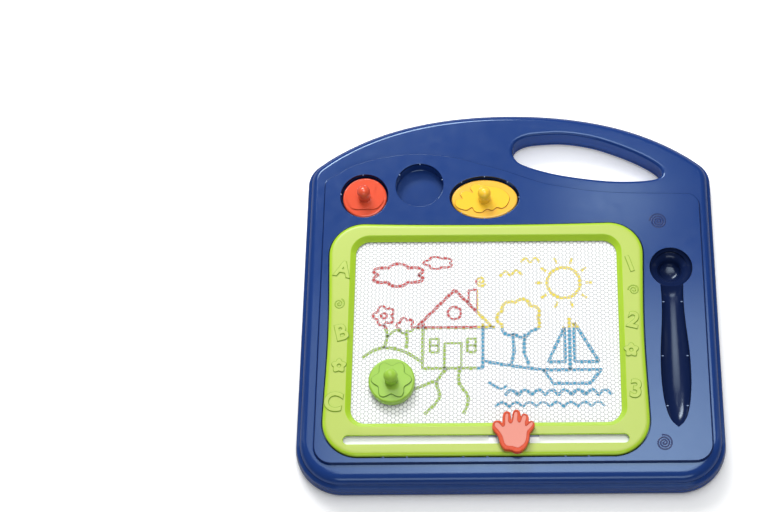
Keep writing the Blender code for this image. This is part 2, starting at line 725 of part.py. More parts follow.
def quarter(width, height, steps=FILLET_STEPS):
    """Steps of a quarter ellipse, from its upright end to its flat end, as inward and upward moves."""
    moves = []
    for step in range(steps + 1):
        angle = math.pi / 2 * step / steps
        moves.append((width * (1 - math.cos(angle)), height * math.sin(angle)))
    return moves


def pen_trough(name, grow, where):
    """The pen well's hollow, or its wall where it is grown: half-round sections along the board."""
    head = PEN_HEAD_RADIUS + grow
    depth = PEN_HEAD_DEPTH + grow
    neck = PEN_BELLY_SHARES[0][1] * PEN_BELLY_HALF_WIDTH
    neck_angle = math.degrees(math.asin(neck / PEN_HEAD_RADIUS))
    neck_y = PEN_HEAD_Y - PEN_HEAD_RADIUS * math.cos(math.radians(neck_angle))
    first_angle = neck_angle / 2
    stations = []
    for step in range(HEAD_STATIONS + 1):
        angle = math.radians(first_angle + (180 - neck_angle - first_angle) * step / HEAD_STATIONS)
        half = head * math.sin(angle)
        stations.append((PEN_HEAD_Y + head * math.cos(angle), half, depth * half / head))
    for along, share in PEN_BELLY_SHARES[1:]:
        half = PEN_BELLY_HALF_WIDTH * share + grow
        y = neck_y + (PEN_TIP_Y - grow - neck_y) * along
        stations.append((y, half, PEN_BELLY_HALF_WIDTH * share * PEN_DEPTH_SHARE + grow))
    top = PANEL_LEVEL + (OVERRUN if not grow else -CLEARANCE)
    sections = []
    for y, half, deep in stations:
        section = [(PEN_X + half, y, top)]
        for step in range(SECTION_STEPS + 1):
            angle = math.pi * step / SECTION_STEPS
            section.append(
                (PEN_X + half * math.cos(angle), y, PANEL_LEVEL - CLEARANCE - deep * math.sin(angle))
            )
        section.append((PEN_X - half, y, top))
        if grow:
            section = section[1:-1]
        sections.append(section)
    trough = loft(name, sections, where)
    bm = bmesh.new()
    bm.from_mesh(trough.data)
    bmesh.ops.recalc_face_normals(bm, faces=bm.faces)
    bm.to_mesh(trough.data)
    bm.free()
    return trough


def shell_screw_places():
    """Where the screws from the back hold the two shells together."""
    side = BOARD_RIGHT - LEDGE_EDGE_INSET - SHANK_RADIUS
    bottom = -BOARD_TOP + BOTTOM_MARGIN / 2
    foot_x = BOARD_RIGHT - FOOT_RADIUS / 2
    foot_y = -BOARD_TOP + FOOT_RADIUS / 2 + LEDGE_FOOT_RISE
    head_y = BEZEL_HIGH + HEAD_HEIGHT * SIDE_SCREW_SHARE
    return [
        (-side, head_y),
        (-side, (BEZEL_LOW + BEZEL_HIGH) / 2),
        (-foot_x, foot_y),
        (BEZEL_CENTRE_X, bottom),
        (foot_x, foot_y),
        (side, (PEN_HEAD_Y + PEN_TIP_Y) / 2),
        (side, head_y),
        (EMPTY_WELL[0], BEZEL_HIGH + HEAD_HEIGHT * TOP_SCREW_SHARE),
        (OVAL_WELL[0] + WELL_RADIUS, BEZEL_HIGH + HEAD_HEIGHT * OVAL_SCREW_SHARE),
    ]


def bezel_screw_places():
    """Where screws through the clamp frame hold the bezel, four on each side of the screen."""
    screen_edge = WINDOW_WIDTH / 2 + SCREEN_BORDER
    inner_wall = BEZEL_WIDTH / 2 - BEZEL_SIDE_HOLLOW - BEZEL_WALL
    reach = (screen_edge + inner_wall) / 2
    low = WINDOW_LOW + BEZEL_POST_RADIUS * 2
    high = WINDOW_HIGH - BEZEL_POST_RADIUS * 4
    spacing = (high - low) / (BEZEL_SCREWS_A_SIDE - 1)
    return [
        (BEZEL_CENTRE_X + side * reach, low + spacing * step)
        for side in (-1, 1)
        for step in range(BEZEL_SCREWS_A_SIDE)
    ]


def track_screw_places():
    """Where small screws hold the track under the bezel, in a row below the slot."""
    return [(BEZEL_CENTRE_X + SLOT_HALF_LENGTH * share, TRACK_POST_Y) for share in TRACK_SCREW_SHARES]


def shoulder_level(inset, inward, height):
    """The board's outline on its round shoulder, which draws in further along the foot."""
    plan = board_outline(LEDGE_FOOT_RISE * inward / EDGE_ROUND_WIDTH)
    return level(grown(plan, -inset - inward), height)


def front_shell():
    """The blue front: rounded edge, ledge, raised panel, wells, recess for the bezel and handle wall."""
    plan = board_outline()
    wall = SHELL_WALL
    sections = []
    for inward, upward in quarter(RIM_INSET - PARTING_INSET, RIM_LEVEL - FRONT_SHELL_LOW, RIM_STEPS):
        sections.append(level(grown(plan, -PARTING_INSET - inward), FRONT_SHELL_LOW + upward))
    for inward, upward in quarter(EDGE_ROUND_WIDTH, LEDGE_LEVEL - STEP_LEVEL, FILLET_STEPS + 1):
        sections.append(shoulder_level(STEP_INSET, inward, STEP_LEVEL + upward))
    body = loft("front_shell", sections, PARTS)

    sections = [level(grown(plan, -PARTING_INSET - wall), FRONT_SHELL_LOW - OVERRUN)]
    sections.append(level(grown(plan, -RIM_INSET - wall), RIM_LEVEL - wall / 2))
    for inward, upward in quarter(EDGE_ROUND_WIDTH, LEDGE_LEVEL - STEP_LEVEL - wall / 2):
        sections.append(shoulder_level(STEP_INSET + wall, inward, STEP_LEVEL - wall / 2 + upward))
    cavity = loft("cut_front_cavity", sections, CUTTERS)

    panel_plan = panel_outline()
    step = [(PANEL_SLOPE, LEDGE_LEVEL - wall), (PANEL_SLOPE, LEDGE_LEVEL)]
    out_share, up_share = PANEL_SLOPE_SHARES
    step.append((PANEL_SLOPE * out_share, LEDGE_LEVEL + PANEL_RAISE * up_share))
    step.append((0, PANEL_LEVEL))
    panel = stack("add_panel", panel_plan, step, CUTTERS)
    hollow = [(-wall, LEDGE_LEVEL - 2 * wall), (-wall, PANEL_LEVEL - wall)]
    under_panel = stack("cut_under_panel", panel_plan, hollow, CUTTERS)
    join(body, panel)
    cut(body, cavity, under_panel)

    bezel_plan = bezel_outline()
    pocket = BEZEL_SKIRT_GAP
    skin_level = PANEL_LEVEL - wall / 2
    recess = stack(
        "add_recess", bezel_plan, [(pocket + wall, RECESS_UNDERSIDE), (pocket + wall, skin_level)], CUTTERS
    )
    join(body, recess)
    for name, centre, half_length, half_width in WELLS:
        cup = ellipse(centre, half_length + WELL_GAP, half_width + WELL_GAP)
        add = stack(
            "add_" + name, cup, [(WELL_WALL, WELL_LEVEL - WELL_WALL), (WELL_WALL, skin_level)], CUTTERS
        )
        join(body, add)
    join(body, pen_trough("add_pen_well", WELL_WALL, CUTTERS))
    join(body, ball("add_pen_bowl", PEN_BOWL_CENTRE, PEN_BOWL_RADIUS + WELL_WALL, CUTTERS))
    handle = handle_outline()
    skin = LEDGE_LEVEL - wall * INSIDE_SKIN_SHARE
    grow = wall - HANDLE_LIP
    join(body, stack("add_handle", handle, [(grow, FRONT_SHELL_LOW), (grow, skin)], CUTTERS))
    for index, place in enumerate(shell_screw_places()):
        join(body, rod(f"add_post_{index}", place, SHELL_POST_RADIUS, POST_SEAT_GAP, skin, CUTTERS))

    cut(
        body,
        stack(
            "cut_recess",
            bezel_plan,
            [(pocket, RECESS_LEVEL), (pocket, PANEL_LEVEL + OVERRUN)],
            CUTTERS,
        ),
        slab("cut_recess_opening", recess_opening(), RECESS_UNDERSIDE - OVERRUN, PANEL_LEVEL, CUTTERS),
    )
    for name, centre, half_length, half_width in WELLS:
        cup = ellipse(centre, half_length + WELL_GAP, half_width + WELL_GAP)
        cut(body, stack("cut_" + name, cup, [(0, WELL_LEVEL), (0, PANEL_LEVEL + OVERRUN)], CUTTERS))
    cut(body, pen_trough("cut_pen_well", 0, CUTTERS))
    cut(body, ball("cut_pen_bowl", PEN_BOWL_CENTRE, PEN_BOWL_RADIUS, CUTTERS))
    lip = [(-HANDLE_LIP, FRONT_SHELL_LOW - OVERRUN)]
    for outward, upward in quarter(HANDLE_LIP, HANDLE_LIP):
        lip.append((outward - HANDLE_LIP, LEDGE_LEVEL - HANDLE_LIP + upward))
    lip.append((0, LEDGE_LEVEL + OVERRUN))
    cut(body, stack("cut_front_handle", handle, lip, CUTTERS))
    pilot = SHANK_RADIUS + CLEARANCE
    for index, place in enumerate(shell_screw_places()):
        top = screw_seat() + HEAD_HEIGHT_OF_SCREW + SHELL_SHANK_LENGTH + CLEARANCE
        cut(body, rod(f"cut_post_{index}", place, pilot, POST_SEAT_GAP - OVERRUN, top, CUTTERS))
    for index, place in enumerate(bezel_screw_places()):
        low = RECESS_UNDERSIDE - OVERRUN
        cut(body, rod(f"cut_floor_{index}", place, pilot, low, RECESS_LEVEL + OVERRUN, CUTTERS))
    return finish(body, "blue_shell")


def recess_opening():
    """Plan of the opening in the recess floor, through which the eraser bar reaches the screen."""
    side = SCREEN_BORDER + CLEARANCE
    return rounded_box(
        WINDOW_LEFT - side,
        WINDOW_RIGHT + side,
        RECESS_OPENING_LOW,
        RECESS_OPENING_HIGH,
        BEZEL_WALL,
    )


def screw_seat():
    """Height of the underside of a shell screw's head."""
    return COUNTERBORE_DEPTH - HEAD_HEIGHT_OF_SCREW - CLEARANCE


def back_shell():
    """The blue tray: flat back, round edge, handle wall, screw posts, ribs and the bar's far rail."""
    plan = board_outline()
    wall = SHELL_WALL
    outer, inner = [], []
    for inward, upward in reversed(quarter(BACK_EDGE_WIDTH, BACK_EDGE_HEIGHT)):
        outer.append((-inward, BACK_EDGE_HEIGHT - upward))
        inner.append((-wall - inward, wall + BACK_EDGE_HEIGHT - upward))
    outer.append((0, WIDEST_LEVEL))
    outer.append((-PARTING_INSET, BACK_SHELL_HEIGHT))
    inner.append((-PARTING_INSET - wall, BACK_SHELL_HEIGHT + OVERRUN))
    body = stack("back_shell", plan, outer, PARTS)
    cut(body, stack("cut_back_cavity", plan, inner, CUTTERS))

    handle = handle_outline()
    floor = wall / 2
    grow = wall - HANDLE_LIP
    join(body, stack("add_back_handle", handle, [(grow, floor), (grow, BACK_SHELL_HEIGHT)], CUTTERS))
    for index, place in enumerate(shell_screw_places()):
        radius = SHELL_POST_RADIUS + WELL_WALL
        join(body, rod(f"add_back_post_{index}", place, radius, floor, SHELL_POST_SEAT, CUTTERS))
    left, right = WINDOW_LEFT - SCREEN_BORDER, WINDOW_RIGHT + SCREEN_BORDER
    rail_low = BAR_HIGH_Y + RAIL_PLAY
    rail = block(
        "add_rail", (left, rail_low, floor), (right, rail_low + RAIL_THICKNESS, RAIL_TOP), CUTTERS
    )
    join(body, rail)
    half = RIB_THICKNESS / 2
    rib_top = wall + RIB_HEIGHT
    for index, share in enumerate(RIB_PLACE_SHARES):
        y = WINDOW_LOW + WINDOW_HEIGHT * share
        join(body, block(f"add_rib_{index}", (left, y - half, floor), (right, y + half, rib_top), CUTTERS))
    lip = [(BACK_HANDLE_LIP - HANDLE_LIP, -OVERRUN)]
    for outward, upward in reversed(quarter(BACK_HANDLE_LIP, BACK_HANDLE_LIP, RIM_STEPS)):
        lip.append((outward - HANDLE_LIP, BACK_HANDLE_LIP - upward))
    lip.append((-HANDLE_LIP, BACK_SHELL_HEIGHT + OVERRUN))
    cut(body, stack("cut_back_handle", handle, lip, CUTTERS))
    for index, place in enumerate(shell_screw_places()):
        cut(body, rod(f"cut_bore_{index}", place, COUNTERBORE_RADIUS, -OVERRUN, COUNTERBORE_DEPTH, CUTTERS))
        through = SHANK_RADIUS + CLEARANCE
        cut(body, rod(f"cut_through_{index}", place, through, floor, SHELL_POST_SEAT + OVERRUN, CUTTERS))
    return finish(body, "blue_shell")


def screen_bezel():
    """The lime bezel: a sloped ring with a skirt, screw posts underneath and the eraser's slot."""
    outside, window = bezel_outline(), window_outline()
    floor = RECESS_LEVEL + CLEARANCE
    sections = [
        level(outside, floor),
        level(outside, BEZEL_FACE - BEZEL_SHOULDER),
    ]
    for inward, upward in quarter(BEZEL_OUTER_SLOPE, BEZEL_SHOULDER)[1:]:
        sections.append(level(grown(outside, -inward), BEZEL_FACE - BEZEL_SHOULDER + upward))
    fall = BEZEL_FACE - BEZEL_LIP_LEVEL - BEZEL_LIP
    for growth, drop in BEZEL_INNER_SLOPE_SHARES:
        sections.append(level(grown(window, BEZEL_INNER_SLOPE * growth), BEZEL_FACE - fall * drop))
    sections.append(level(window, BEZEL_LIP_LEVEL))
    inner_edge = SCREEN_BORDER - CLEARANCE
    sections.append(level(grown(window, inner_edge), BEZEL_LIP_LEVEL))
    sections.append(level(grown(window, SCREEN_BORDER), BEZEL_UNDERSIDE))
    sections.append(level(grown(outside, -BEZEL_WALL), BEZEL_UNDERSIDE))
    sections.append(level(grown(outside, -BEZEL_WALL), floor))
    body = loft("screen_bezel", sections, PARTS, closed=True)

    inside = BEZEL_UNDERSIDE + BEZEL_WALL / 2
    for index, place in enumerate(bezel_screw_places()):
        join(
            body,
            rod(
                f"add_bezel_post_{index}",
                place,
                BEZEL_POST_RADIUS,
                CLAMP_TOP + CLEARANCE,
                inside,
                CUTTERS,
            ),
        )
    for index, place in enumerate(track_screw_places()):
        low = TRACK_TOP + CLEARANCE
        join(body, rod(f"add_track_post_{index}", place, TRACK_POST_RADIUS, low, inside, CUTTERS))
    slot = rounded_box(
        BEZEL_CENTRE_X - SLOT_HALF_LENGTH,
        BEZEL_CENTRE_X + SLOT_HALF_LENGTH,
        SLOT_Y - SLOT_WIDTH / 2,
        SLOT_Y + SLOT_WIDTH / 2,
        SLOT_WIDTH / 2 - MERGE,
    )
    cut(body, slab("cut_slot", slot, BEZEL_UNDERSIDE - OVERRUN / 2, BEZEL_FACE + OVERRUN, CUTTERS))
    pilot = SHANK_RADIUS + CLEARANCE
    for index, place in enumerate(bezel_screw_places()):
        top = RECESS_UNDERSIDE + BEZEL_SHANK_LENGTH + CLEARANCE
        cut(body, rod(f"cut_bezel_post_{index}", place, pilot, CLAMP_TOP, top, CUTTERS))
    for index, place in enumerate(track_screw_places()):
        top = TRACK_UNDERSIDE + TRACK_SHANK_LENGTH + CLEARANCE
        pilot = TRACK_SHANK_RADIUS + CLEARANCE
        cut(body, rod(f"cut_track_post_{index}", place, pilot, TRACK_TOP, top, CUTTERS))
    return finish(body, "lime_bezel")


def screen_layers():
    """The magnetic screen: clear front film, cell sheet full of fluid, and back film."""
    plan = screen_outline()
    front = slab("screen_front_film", plan, FRONT_FILM_LOW, FRONT_FILM_TOP, PARTS)
    cells = slab("screen_honeycomb", plan, CELL_LOW, CELL_TOP, PARTS)
    back = slab("screen_back_film", plan, BACK_FILM_LOW, BACK_FILM_TOP, PARTS)
    finish(front, "clear_film")
    finish(cells, "white_cell")
    finish(back, "white_plastic")


def screen_clamp_frame():
    """The frame that presses the screen's edge up against the bezel."""
    reach = BEZEL_WIDTH / 2 - BEZEL_SIDE_HOLLOW - BEZEL_WALL - CLAMP_SIDE_PLAY
    high = BEZEL_HIGH - BEZEL_TOP_HOLLOW - BEZEL_WALL - CLAMP_SIDE_PLAY
    plan = rounded_box(
        BEZEL_CENTRE_X - reach,
        BEZEL_CENTRE_X + reach,
        CLAMP_LOWER_EDGE,
        high,
        WINDOW_CORNER,
        BEZEL_TOP_CORNER,
    )
    body = slab("screen_clamp_frame", plan, CLAMP_LOW, CLAMP_TOP, PARTS)
    opening = grown(window_outline(), CLAMP_INSIDE)
    cut(body, slab("cut_clamp", opening, CLAMP_LOW - OVERRUN, CLAMP_TOP + OVERRUN, CUTTERS))
    for index, place in enumerate(bezel_screw_places()):
        hole = SHANK_RADIUS + CLEARANCE
        low, high = CLAMP_LOW - OVERRUN, CLAMP_TOP + OVERRUN
        cut(body, rod(f"cut_clamp_hole_{index}", place, hole, low, high, CUTTERS))
    return finish(body, "white_plastic")


def eraser_track():
    """The white strip under the slot, on which the eraser's shoe slides."""
    high = RECESS_OPENING_LOW
    plan = rounded_box(
        BEZEL_CENTRE_X - SLOT_HALF_LENGTH - TRACK_END,
        BEZEL_CENTRE_X + SLOT_HALF_LENGTH + TRACK_END,
        TRACK_LOW_Y,
        high,
        TRACK_CORNER,
        TRACK_END,
    )
    body = slab("eraser_track", plan, TRACK_UNDERSIDE, TRACK_TOP, PARTS)
    for index, place in enumerate(track_screw_places()):
        hole = TRACK_SHANK_RADIUS + CLEARANCE
        low, top = TRACK_UNDERSIDE - OVERRUN, TRACK_TOP + OVERRUN
        cut(body, rod(f"cut_track_hole_{index}", place, hole, low, top, CUTTERS))
    return finish(body, "white_plastic")


def screw_profile(head_radius, head_height, shank_radius, shank_length):
    """Half section of an upright screw, from the tip down to the head, with its head's seat at zero."""
    return [
        (0, shank_length),
        (shank_radius, shank_length - SHANK_TIP),
        (shank_radius, 0),
        (head_radius, 0),
        (head_radius * HEAD_TOP_SHARE, -head_height),
        (0, -head_height),
    ]


def upright_screws(name, places, seat, head, shank, length):
    """Identical screws that point up, with their heads' seats at one height."""
    head_height = HEAD_HEIGHT_OF_SCREW * head / HEAD_RADIUS
    profile = screw_profile(head, head_height, shank, length)
    raised = [(radius, seat + height) for radius, height in profile]
    for index, place in enumerate(places):
        finish(turned(f"{name}_{index + 1}", raised, place, PARTS, SCREW_STEPS), "steel")


def board_screws():
    """All the screws that hold the board together."""
    seat = screw_seat() + HEAD_HEIGHT_OF_SCREW
    upright_screws("shell_screw", shell_screw_places(), seat, HEAD_RADIUS, SHANK_RADIUS, SHELL_SHANK_LENGTH)
    seat = RECESS_UNDERSIDE - CLEARANCE
    upright_screws("bezel_screw", bezel_screw_places(), seat, HEAD_RADIUS, SHANK_RADIUS, BEZEL_SHANK_LENGTH)
    seat = TRACK_UNDERSIDE - CLEARANCE
    head, shank = TRACK_HEAD_RADIUS, TRACK_SHANK_RADIUS
    upright_screws("track_screw", track_screw_places(), seat, head, shank, TRACK_SHANK_LENGTH)


def eraser_carriage():
    """The grey carriage: a shoe under the bezel, a stem through the slot and a web down past the screen."""
    shoe = rounded_box(
        ERASER_X - SHOE_HALF_LENGTH,
        ERASER_X + SHOE_HALF_LENGTH,
        SHOE_LOW_Y,
        WEB_HIGH_Y,
        SHOE_CORNER,
        CLEARANCE,
    )
    body = slab("eraser_carriage", shoe, SHOE_UNDERSIDE, SHOE_TOP, PARTS)
    left, right = ERASER_X - STEM_HALF_LENGTH, ERASER_X + STEM_HALF_LENGTH
    stem_plan = rounded_box(
        left, right, SLOT_Y - STEM_HALF_WIDTH, SLOT_Y + STEM_HALF_WIDTH, STEM_HALF_WIDTH - MERGE
    )
    stem_low = SHOE_UNDERSIDE + SHOE_THICKNESS / 2
    stem = slab("add_stem", stem_plan, stem_low, BEZEL_FACE + STEM_RISE, CUTTERS)
    web = block(
        "add_web",
        (left, WEB_LOW_Y, BAR_LOW - WEB_DEPTH_BELOW_BAR),
        (right, WEB_HIGH_Y - MERGE, stem_low),
        CUTTERS,
    )
    join(body, stem, web)
    centre = (ERASER_X, SLOT_Y)
    hole = SHANK_RADIUS + CLEARANCE
    seat = knob_screw_seat()
    cut(body, rod("cut_stem_hole", centre, hole, SHOE_UNDERSIDE, BEZEL_FACE + OVERRUN, CUTTERS))
    cut(
        body,
        rod(
            "cut_stem_bore",
            centre,
            HEAD_RADIUS + CLEARANCE,
            SHOE_UNDERSIDE - OVERRUN,
            seat + CLEARANCE,
            CUTTERS,
        ),
    )
    for index, place in enumerate(bar_screw_places()):
        bore = rod(f"cut_web_hole_{index}", (0, 0), hole, -OVERRUN, WEB_THICKNESS + OVERRUN, CUTTERS)
        bore.rotation_euler.x = -math.pi / 2
        bore.location = (place[0], WEB_LOW_Y, place[1])
        cut(body, bore)
    return finish(body, "grey_plastic")


def knob_screw_seat():
    """Height of the top of the knob screw's head, in the stem's bore."""
    return SHOE_UNDERSIDE + HEAD_HEIGHT_OF_SCREW + CLEARANCE


def bar_screw_places():
    """X and Z of the two screws that hold the bar to the carriage's web."""
    return [(ERASER_X + side * BAR_HALF_WIDTH / 2, BAR_LOW + HEAD_RADIUS / 2) for side in (-1, 1)]


def eraser_bar():
    """The bar that carries the magnet up behind the screen, hollow below, with a tongue at its far end."""
    left, right = ERASER_X - BAR_HALF_WIDTH, ERASER_X + BAR_HALF_WIDTH
    near = WEB_HIGH_Y + CLEARANCE
    body = block("eraser_bar", (left, near, BAR_LOW), (right, BAR_HIGH_Y, BAR_TOP), PARTS)
    tongue = block(
        "add_tongue",
        (left, BAR_HIGH_Y - BAR_WALL, TONGUE_LOW),
        (right, BAR_HIGH_Y + TONGUE_LENGTH, TONGUE_TOP),
        CUTTERS,
    )
    trough = block(
        "cut_bar_trough",
        (left + BAR_WALL, near + BAR_END_BLOCK, BAR_LOW - OVERRUN),
        (right - BAR_WALL, BAR_HIGH_Y - BAR_END_BLOCK, BAR_TOP - BAR_WALL),
        CUTTERS,
    )
    join(body, tongue)
    cut(body, trough)
    for index, place in enumerate(bar_screw_places()):
        pilot = rod(
            f"cut_bar_hole_{index}", (0, 0), SHANK_RADIUS + CLEARANCE, -OVERRUN, SMALL_SHANK_LENGTH, CUTTERS
        )
        pilot.rotation_euler.x = -math.pi / 2
        pilot.location = (place[0], near, place[1])
        cut(body, pilot)
    return finish(body, "grey_plastic")


def eraser_magnet():
    """The magnet strip along the top of the bar, just under the screen's back film."""
    low = WINDOW_LOW + ERASER_MAGNET_END
    high = WINDOW_HIGH - ERASER_MAGNET_END
    body = block(
        "eraser_magnet",
        (ERASER_X - ERASER_MAGNET_HALF_WIDTH, low, MAGNET_LOW),
        (ERASER_X + ERASER_MAGNET_HALF_WIDTH, high, MAGNET_TOP),
        PARTS,
    )
    return finish(body, "magnet")


def eraser_screws():
    """The screw up into the knob, and the two that hold the bar to the web."""
    length = SMALL_SHANK_LENGTH + STEM_RISE
    profile = screw_profile(HEAD_RADIUS, HEAD_HEIGHT_OF_SCREW, SHANK_RADIUS, length)
    seat = knob_screw_seat()
    raised = [(radius, seat + height) for radius, height in profile]
    finish(turned("knob_screw", raised, (ERASER_X, SLOT_Y), PARTS, SCREW_STEPS), "steel")
    length = SMALL_SHANK_LENGTH + WEB_THICKNESS / 2
    profile = screw_profile(BAR_SCREW_HEAD_RADIUS, HEAD_HEIGHT_OF_SCREW, SHANK_RADIUS, length)
    for index, (x, z) in enumerate(bar_screw_places()):
        screw = turned(f"bar_screw_{index + 1}", profile, (0, 0), PARTS, SCREW_STEPS)
        screw.rotation_euler.x = -math.pi / 2
        screw.location = (x, WEB_LOW_Y - CLEARANCE, z)
        finish(screw, "steel")


def eraser_knob():
    """The red hand that slides the eraser, and the salmon plate let into its face."""
    plan = hand_outline()
    steps = [(-HAND_ROUND / 2, HAND_LOW), (0, HAND_LOW + HAND_ROUND / 2)]
    for inward, upward in quarter(HAND_ROUND, HAND_ROUND):
        steps.append((-inward, HAND_TOP - HAND_ROUND + upward))
    body = stack("eraser_knob", plan, steps, PARTS)
    pocket = HAND_TOP - HAND_FACE_DEPTH
    cut(body, stack("cut_face", plan, [(-HAND_RIM, pocket), (-HAND_RIM, HAND_TOP + OVERRUN)], CUTTERS))
    pilot = SHANK_RADIUS + CLEARANCE
    top = knob_screw_seat() + SMALL_SHANK_LENGTH + STEM_RISE + CLEARANCE
    cut(body, rod("cut_knob_pilot", (ERASER_X, SLOT_Y), pilot, HAND_LOW - OVERRUN, top, CUTTERS))
    finish(body, "red_plastic")
    rim = -HAND_RIM - CLEARANCE
    face = stack("eraser_knob_face", plan, [(rim, pocket + CLEARANCE), (rim, HAND_TOP - CLEARANCE)], PARTS)
    finish(face, "salmon_plastic")


def knob_profile(face):
    """Half section of a stamp's knob: a ball on a neck that spreads to its foot."""
    centre = face + KNOB_BALL_HEIGHT
    points = []
    last = math.pi - math.asin(KNOB_NECK_RADIUS / KNOB_BALL_RADIUS)
    for step in range(BALL_STEPS + 1):
        angle = last * step / BALL_STEPS
        points.append((KNOB_BALL_RADIUS * math.sin(angle), centre + KNOB_BALL_RADIUS * math.cos(angle)))
    neck_low = face + KNOB_BALL_HEIGHT * KNOB_NECK_LOW_SHARE
    points.append((KNOB_NECK_RADIUS, (points[-1][1] + neck_low) / 2))
    flare = (KNOB_FOOT_RADIUS - KNOB_NECK_RADIUS) * KNOB_FLARE_SHARE
    points.append((KNOB_NECK_RADIUS + flare, neck_low))
    points.append((KNOB_FOOT_RADIUS, face))
    points.append((KNOB_FOOT_RADIUS, face - STAMP_WALL / 2))
    points.append((0, face - STAMP_WALL / 2))
    return points


def stamp(name, colour, centre, low, half_length, half_width, picture):
    """A magnetic stamp: a cap with a knob and a raised picture, a base plate and a shaped magnet."""
    plan = ellipse(centre, half_length, half_width)
    face = low + STAMP_HEIGHT
    steps = [(0, low)]
    for inward, upward in quarter(STAMP_RIM_ROUND, STAMP_RIM_ROUND):
        steps.append((-inward, face - STAMP_RIM_ROUND + upward))
    cap = stack(f"{name}_cap", plan, steps, PARTS)
    inside = [(-STAMP_WALL, low - OVERRUN), (-STAMP_WALL, face - STAMP_WALL)]
    cut(cap, stack(f"cut_{name}_inside", plan, inside, CUTTERS))
    raised = slab(f"add_{name}_picture", picture, face - STAMP_WALL / 2, face + PICTURE_RAISE, CUTTERS)
    join(cap, raised, turned(f"add_{name}_knob", knob_profile(face), centre, CUTTERS))
    finish(cap, colour)
    rim = -STAMP_WALL - CLEARANCE
    base_top = low + STAMP_BASE_THICKNESS
    finish(stack(f"{name}_base", plan, [(rim, low), (rim, base_top)], PARTS), colour)
    magnet_plan = grown(plan, -MAGNET_MARGIN)
    magnet_low = base_top + CLEARANCE
    magnet = slab(f"{name}_magnet", magnet_plan, magnet_low, magnet_low + STAMP_MAGNET_THICKNESS, PARTS)
    finish(magnet, "magnet")


def stamps():
    """The three stamps: red and yellow in their wells, green on the screen."""
    reach = STAMP_RADIUS - PICTURE_MARGIN
    low = WELL_LEVEL + CLEARANCE
    duck = list(reversed(scaled_outline(DUCK_SHARES, RED_WELL, reach, reach)))
    stamp("red_stamp", "red_plastic", RED_WELL, low, STAMP_RADIUS, STAMP_RADIUS, duck)
    length, width = OVAL_HALF_LENGTH - PICTURE_MARGIN, OVAL_HALF_WIDTH - PICTURE_MARGIN
    fish = list(reversed(scaled_outline(FISH_SHARES, OVAL_WELL, length, width)))
    stamp("yellow_stamp", "yellow_plastic", OVAL_WELL, low, OVAL_HALF_LENGTH, OVAL_HALF_WIDTH, fish)
    flower = flower_outline(GREEN_PLACE, reach)
    on_screen = FRONT_FILM_TOP + CLEARANCE
    stamp("green_stamp", "green_plastic", GREEN_PLACE, on_screen, STAMP_RADIUS, STAMP_RADIUS, flower)


WELLS = (
    ("red_well", RED_WELL, STAMP_RADIUS, STAMP_RADIUS),
    ("empty_well", EMPTY_WELL, STAMP_RADIUS, STAMP_RADIUS),
    ("oval_well", OVAL_WELL, OVAL_HALF_LENGTH, OVAL_HALF_WIDTH),
)

for old in list(bpy.data.objects):
    bpy.data.objects.remove(old)

PARTS = collection("magnetic_drawing_board")
CUTTERS = collection("cutters")

front_shell()
back_shell()
screen_bezel()
screen_layers()
screen_clamp_frame()
eraser_track()
board_screws()
eraser_carriage()
eraser_bar()
eraser_magnet()
eraser_screws()
eraser_knob()
stamps()
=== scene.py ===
# %% [markdown]
# # A toy magnetic drawing board
#
# The board lies on its back: X runs across it, Y runs up it to the grip hole, and Z comes out of
# the drawing side. The packed model gives every part its place, and this script dresses it:
# finer shells, a screen made of real cells, a drawing under the cell walls, and plastics whose
# gloss comes from the lamps. Lengths are written in millimetres and turned into metres by `MM`.

# %% Load the frame
import math

import bmesh
import bpy
import numpy as np
from mathutils import Matrix, Vector


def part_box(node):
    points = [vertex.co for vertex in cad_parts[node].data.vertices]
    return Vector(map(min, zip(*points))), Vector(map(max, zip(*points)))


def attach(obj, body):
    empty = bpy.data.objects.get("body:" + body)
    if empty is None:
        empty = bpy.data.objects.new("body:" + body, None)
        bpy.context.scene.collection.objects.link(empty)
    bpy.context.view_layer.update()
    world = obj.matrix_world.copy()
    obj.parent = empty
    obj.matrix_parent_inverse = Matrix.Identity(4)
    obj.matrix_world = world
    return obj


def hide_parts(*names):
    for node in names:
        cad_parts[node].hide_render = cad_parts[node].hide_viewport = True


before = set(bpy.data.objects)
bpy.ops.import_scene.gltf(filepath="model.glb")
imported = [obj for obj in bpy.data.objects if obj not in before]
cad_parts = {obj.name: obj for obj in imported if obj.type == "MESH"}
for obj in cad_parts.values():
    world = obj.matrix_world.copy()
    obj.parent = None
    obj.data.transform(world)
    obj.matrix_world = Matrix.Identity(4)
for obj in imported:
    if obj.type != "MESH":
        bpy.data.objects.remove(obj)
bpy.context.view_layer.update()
MM = 0.001
BOARD = "board"

# %% [markdown]
# ## Camera
#
# The photograph looks down on the board from 68 degrees above the ground, a little rolled. The
# board sits right of the picture's middle, so the lens is shifted instead of turned: a shifted
# lens keeps the board's sides as upright as the picture shows them.

# %% Camera
IMAGE_WIDTH = 760
FOCAL_PIXELS = 1519
CENTRE_PIXEL = (513, 308)
IMAGE_MIDDLE = (380, 256)
CAMERA_ELEVATION = math.radians(68)
CAMERA_ROLL = math.radians(-0.4)
CAMERA_DISTANCE = 1272 * MM
CAMERA_TARGET = Vector((2.5, -18.2, 26)) * MM

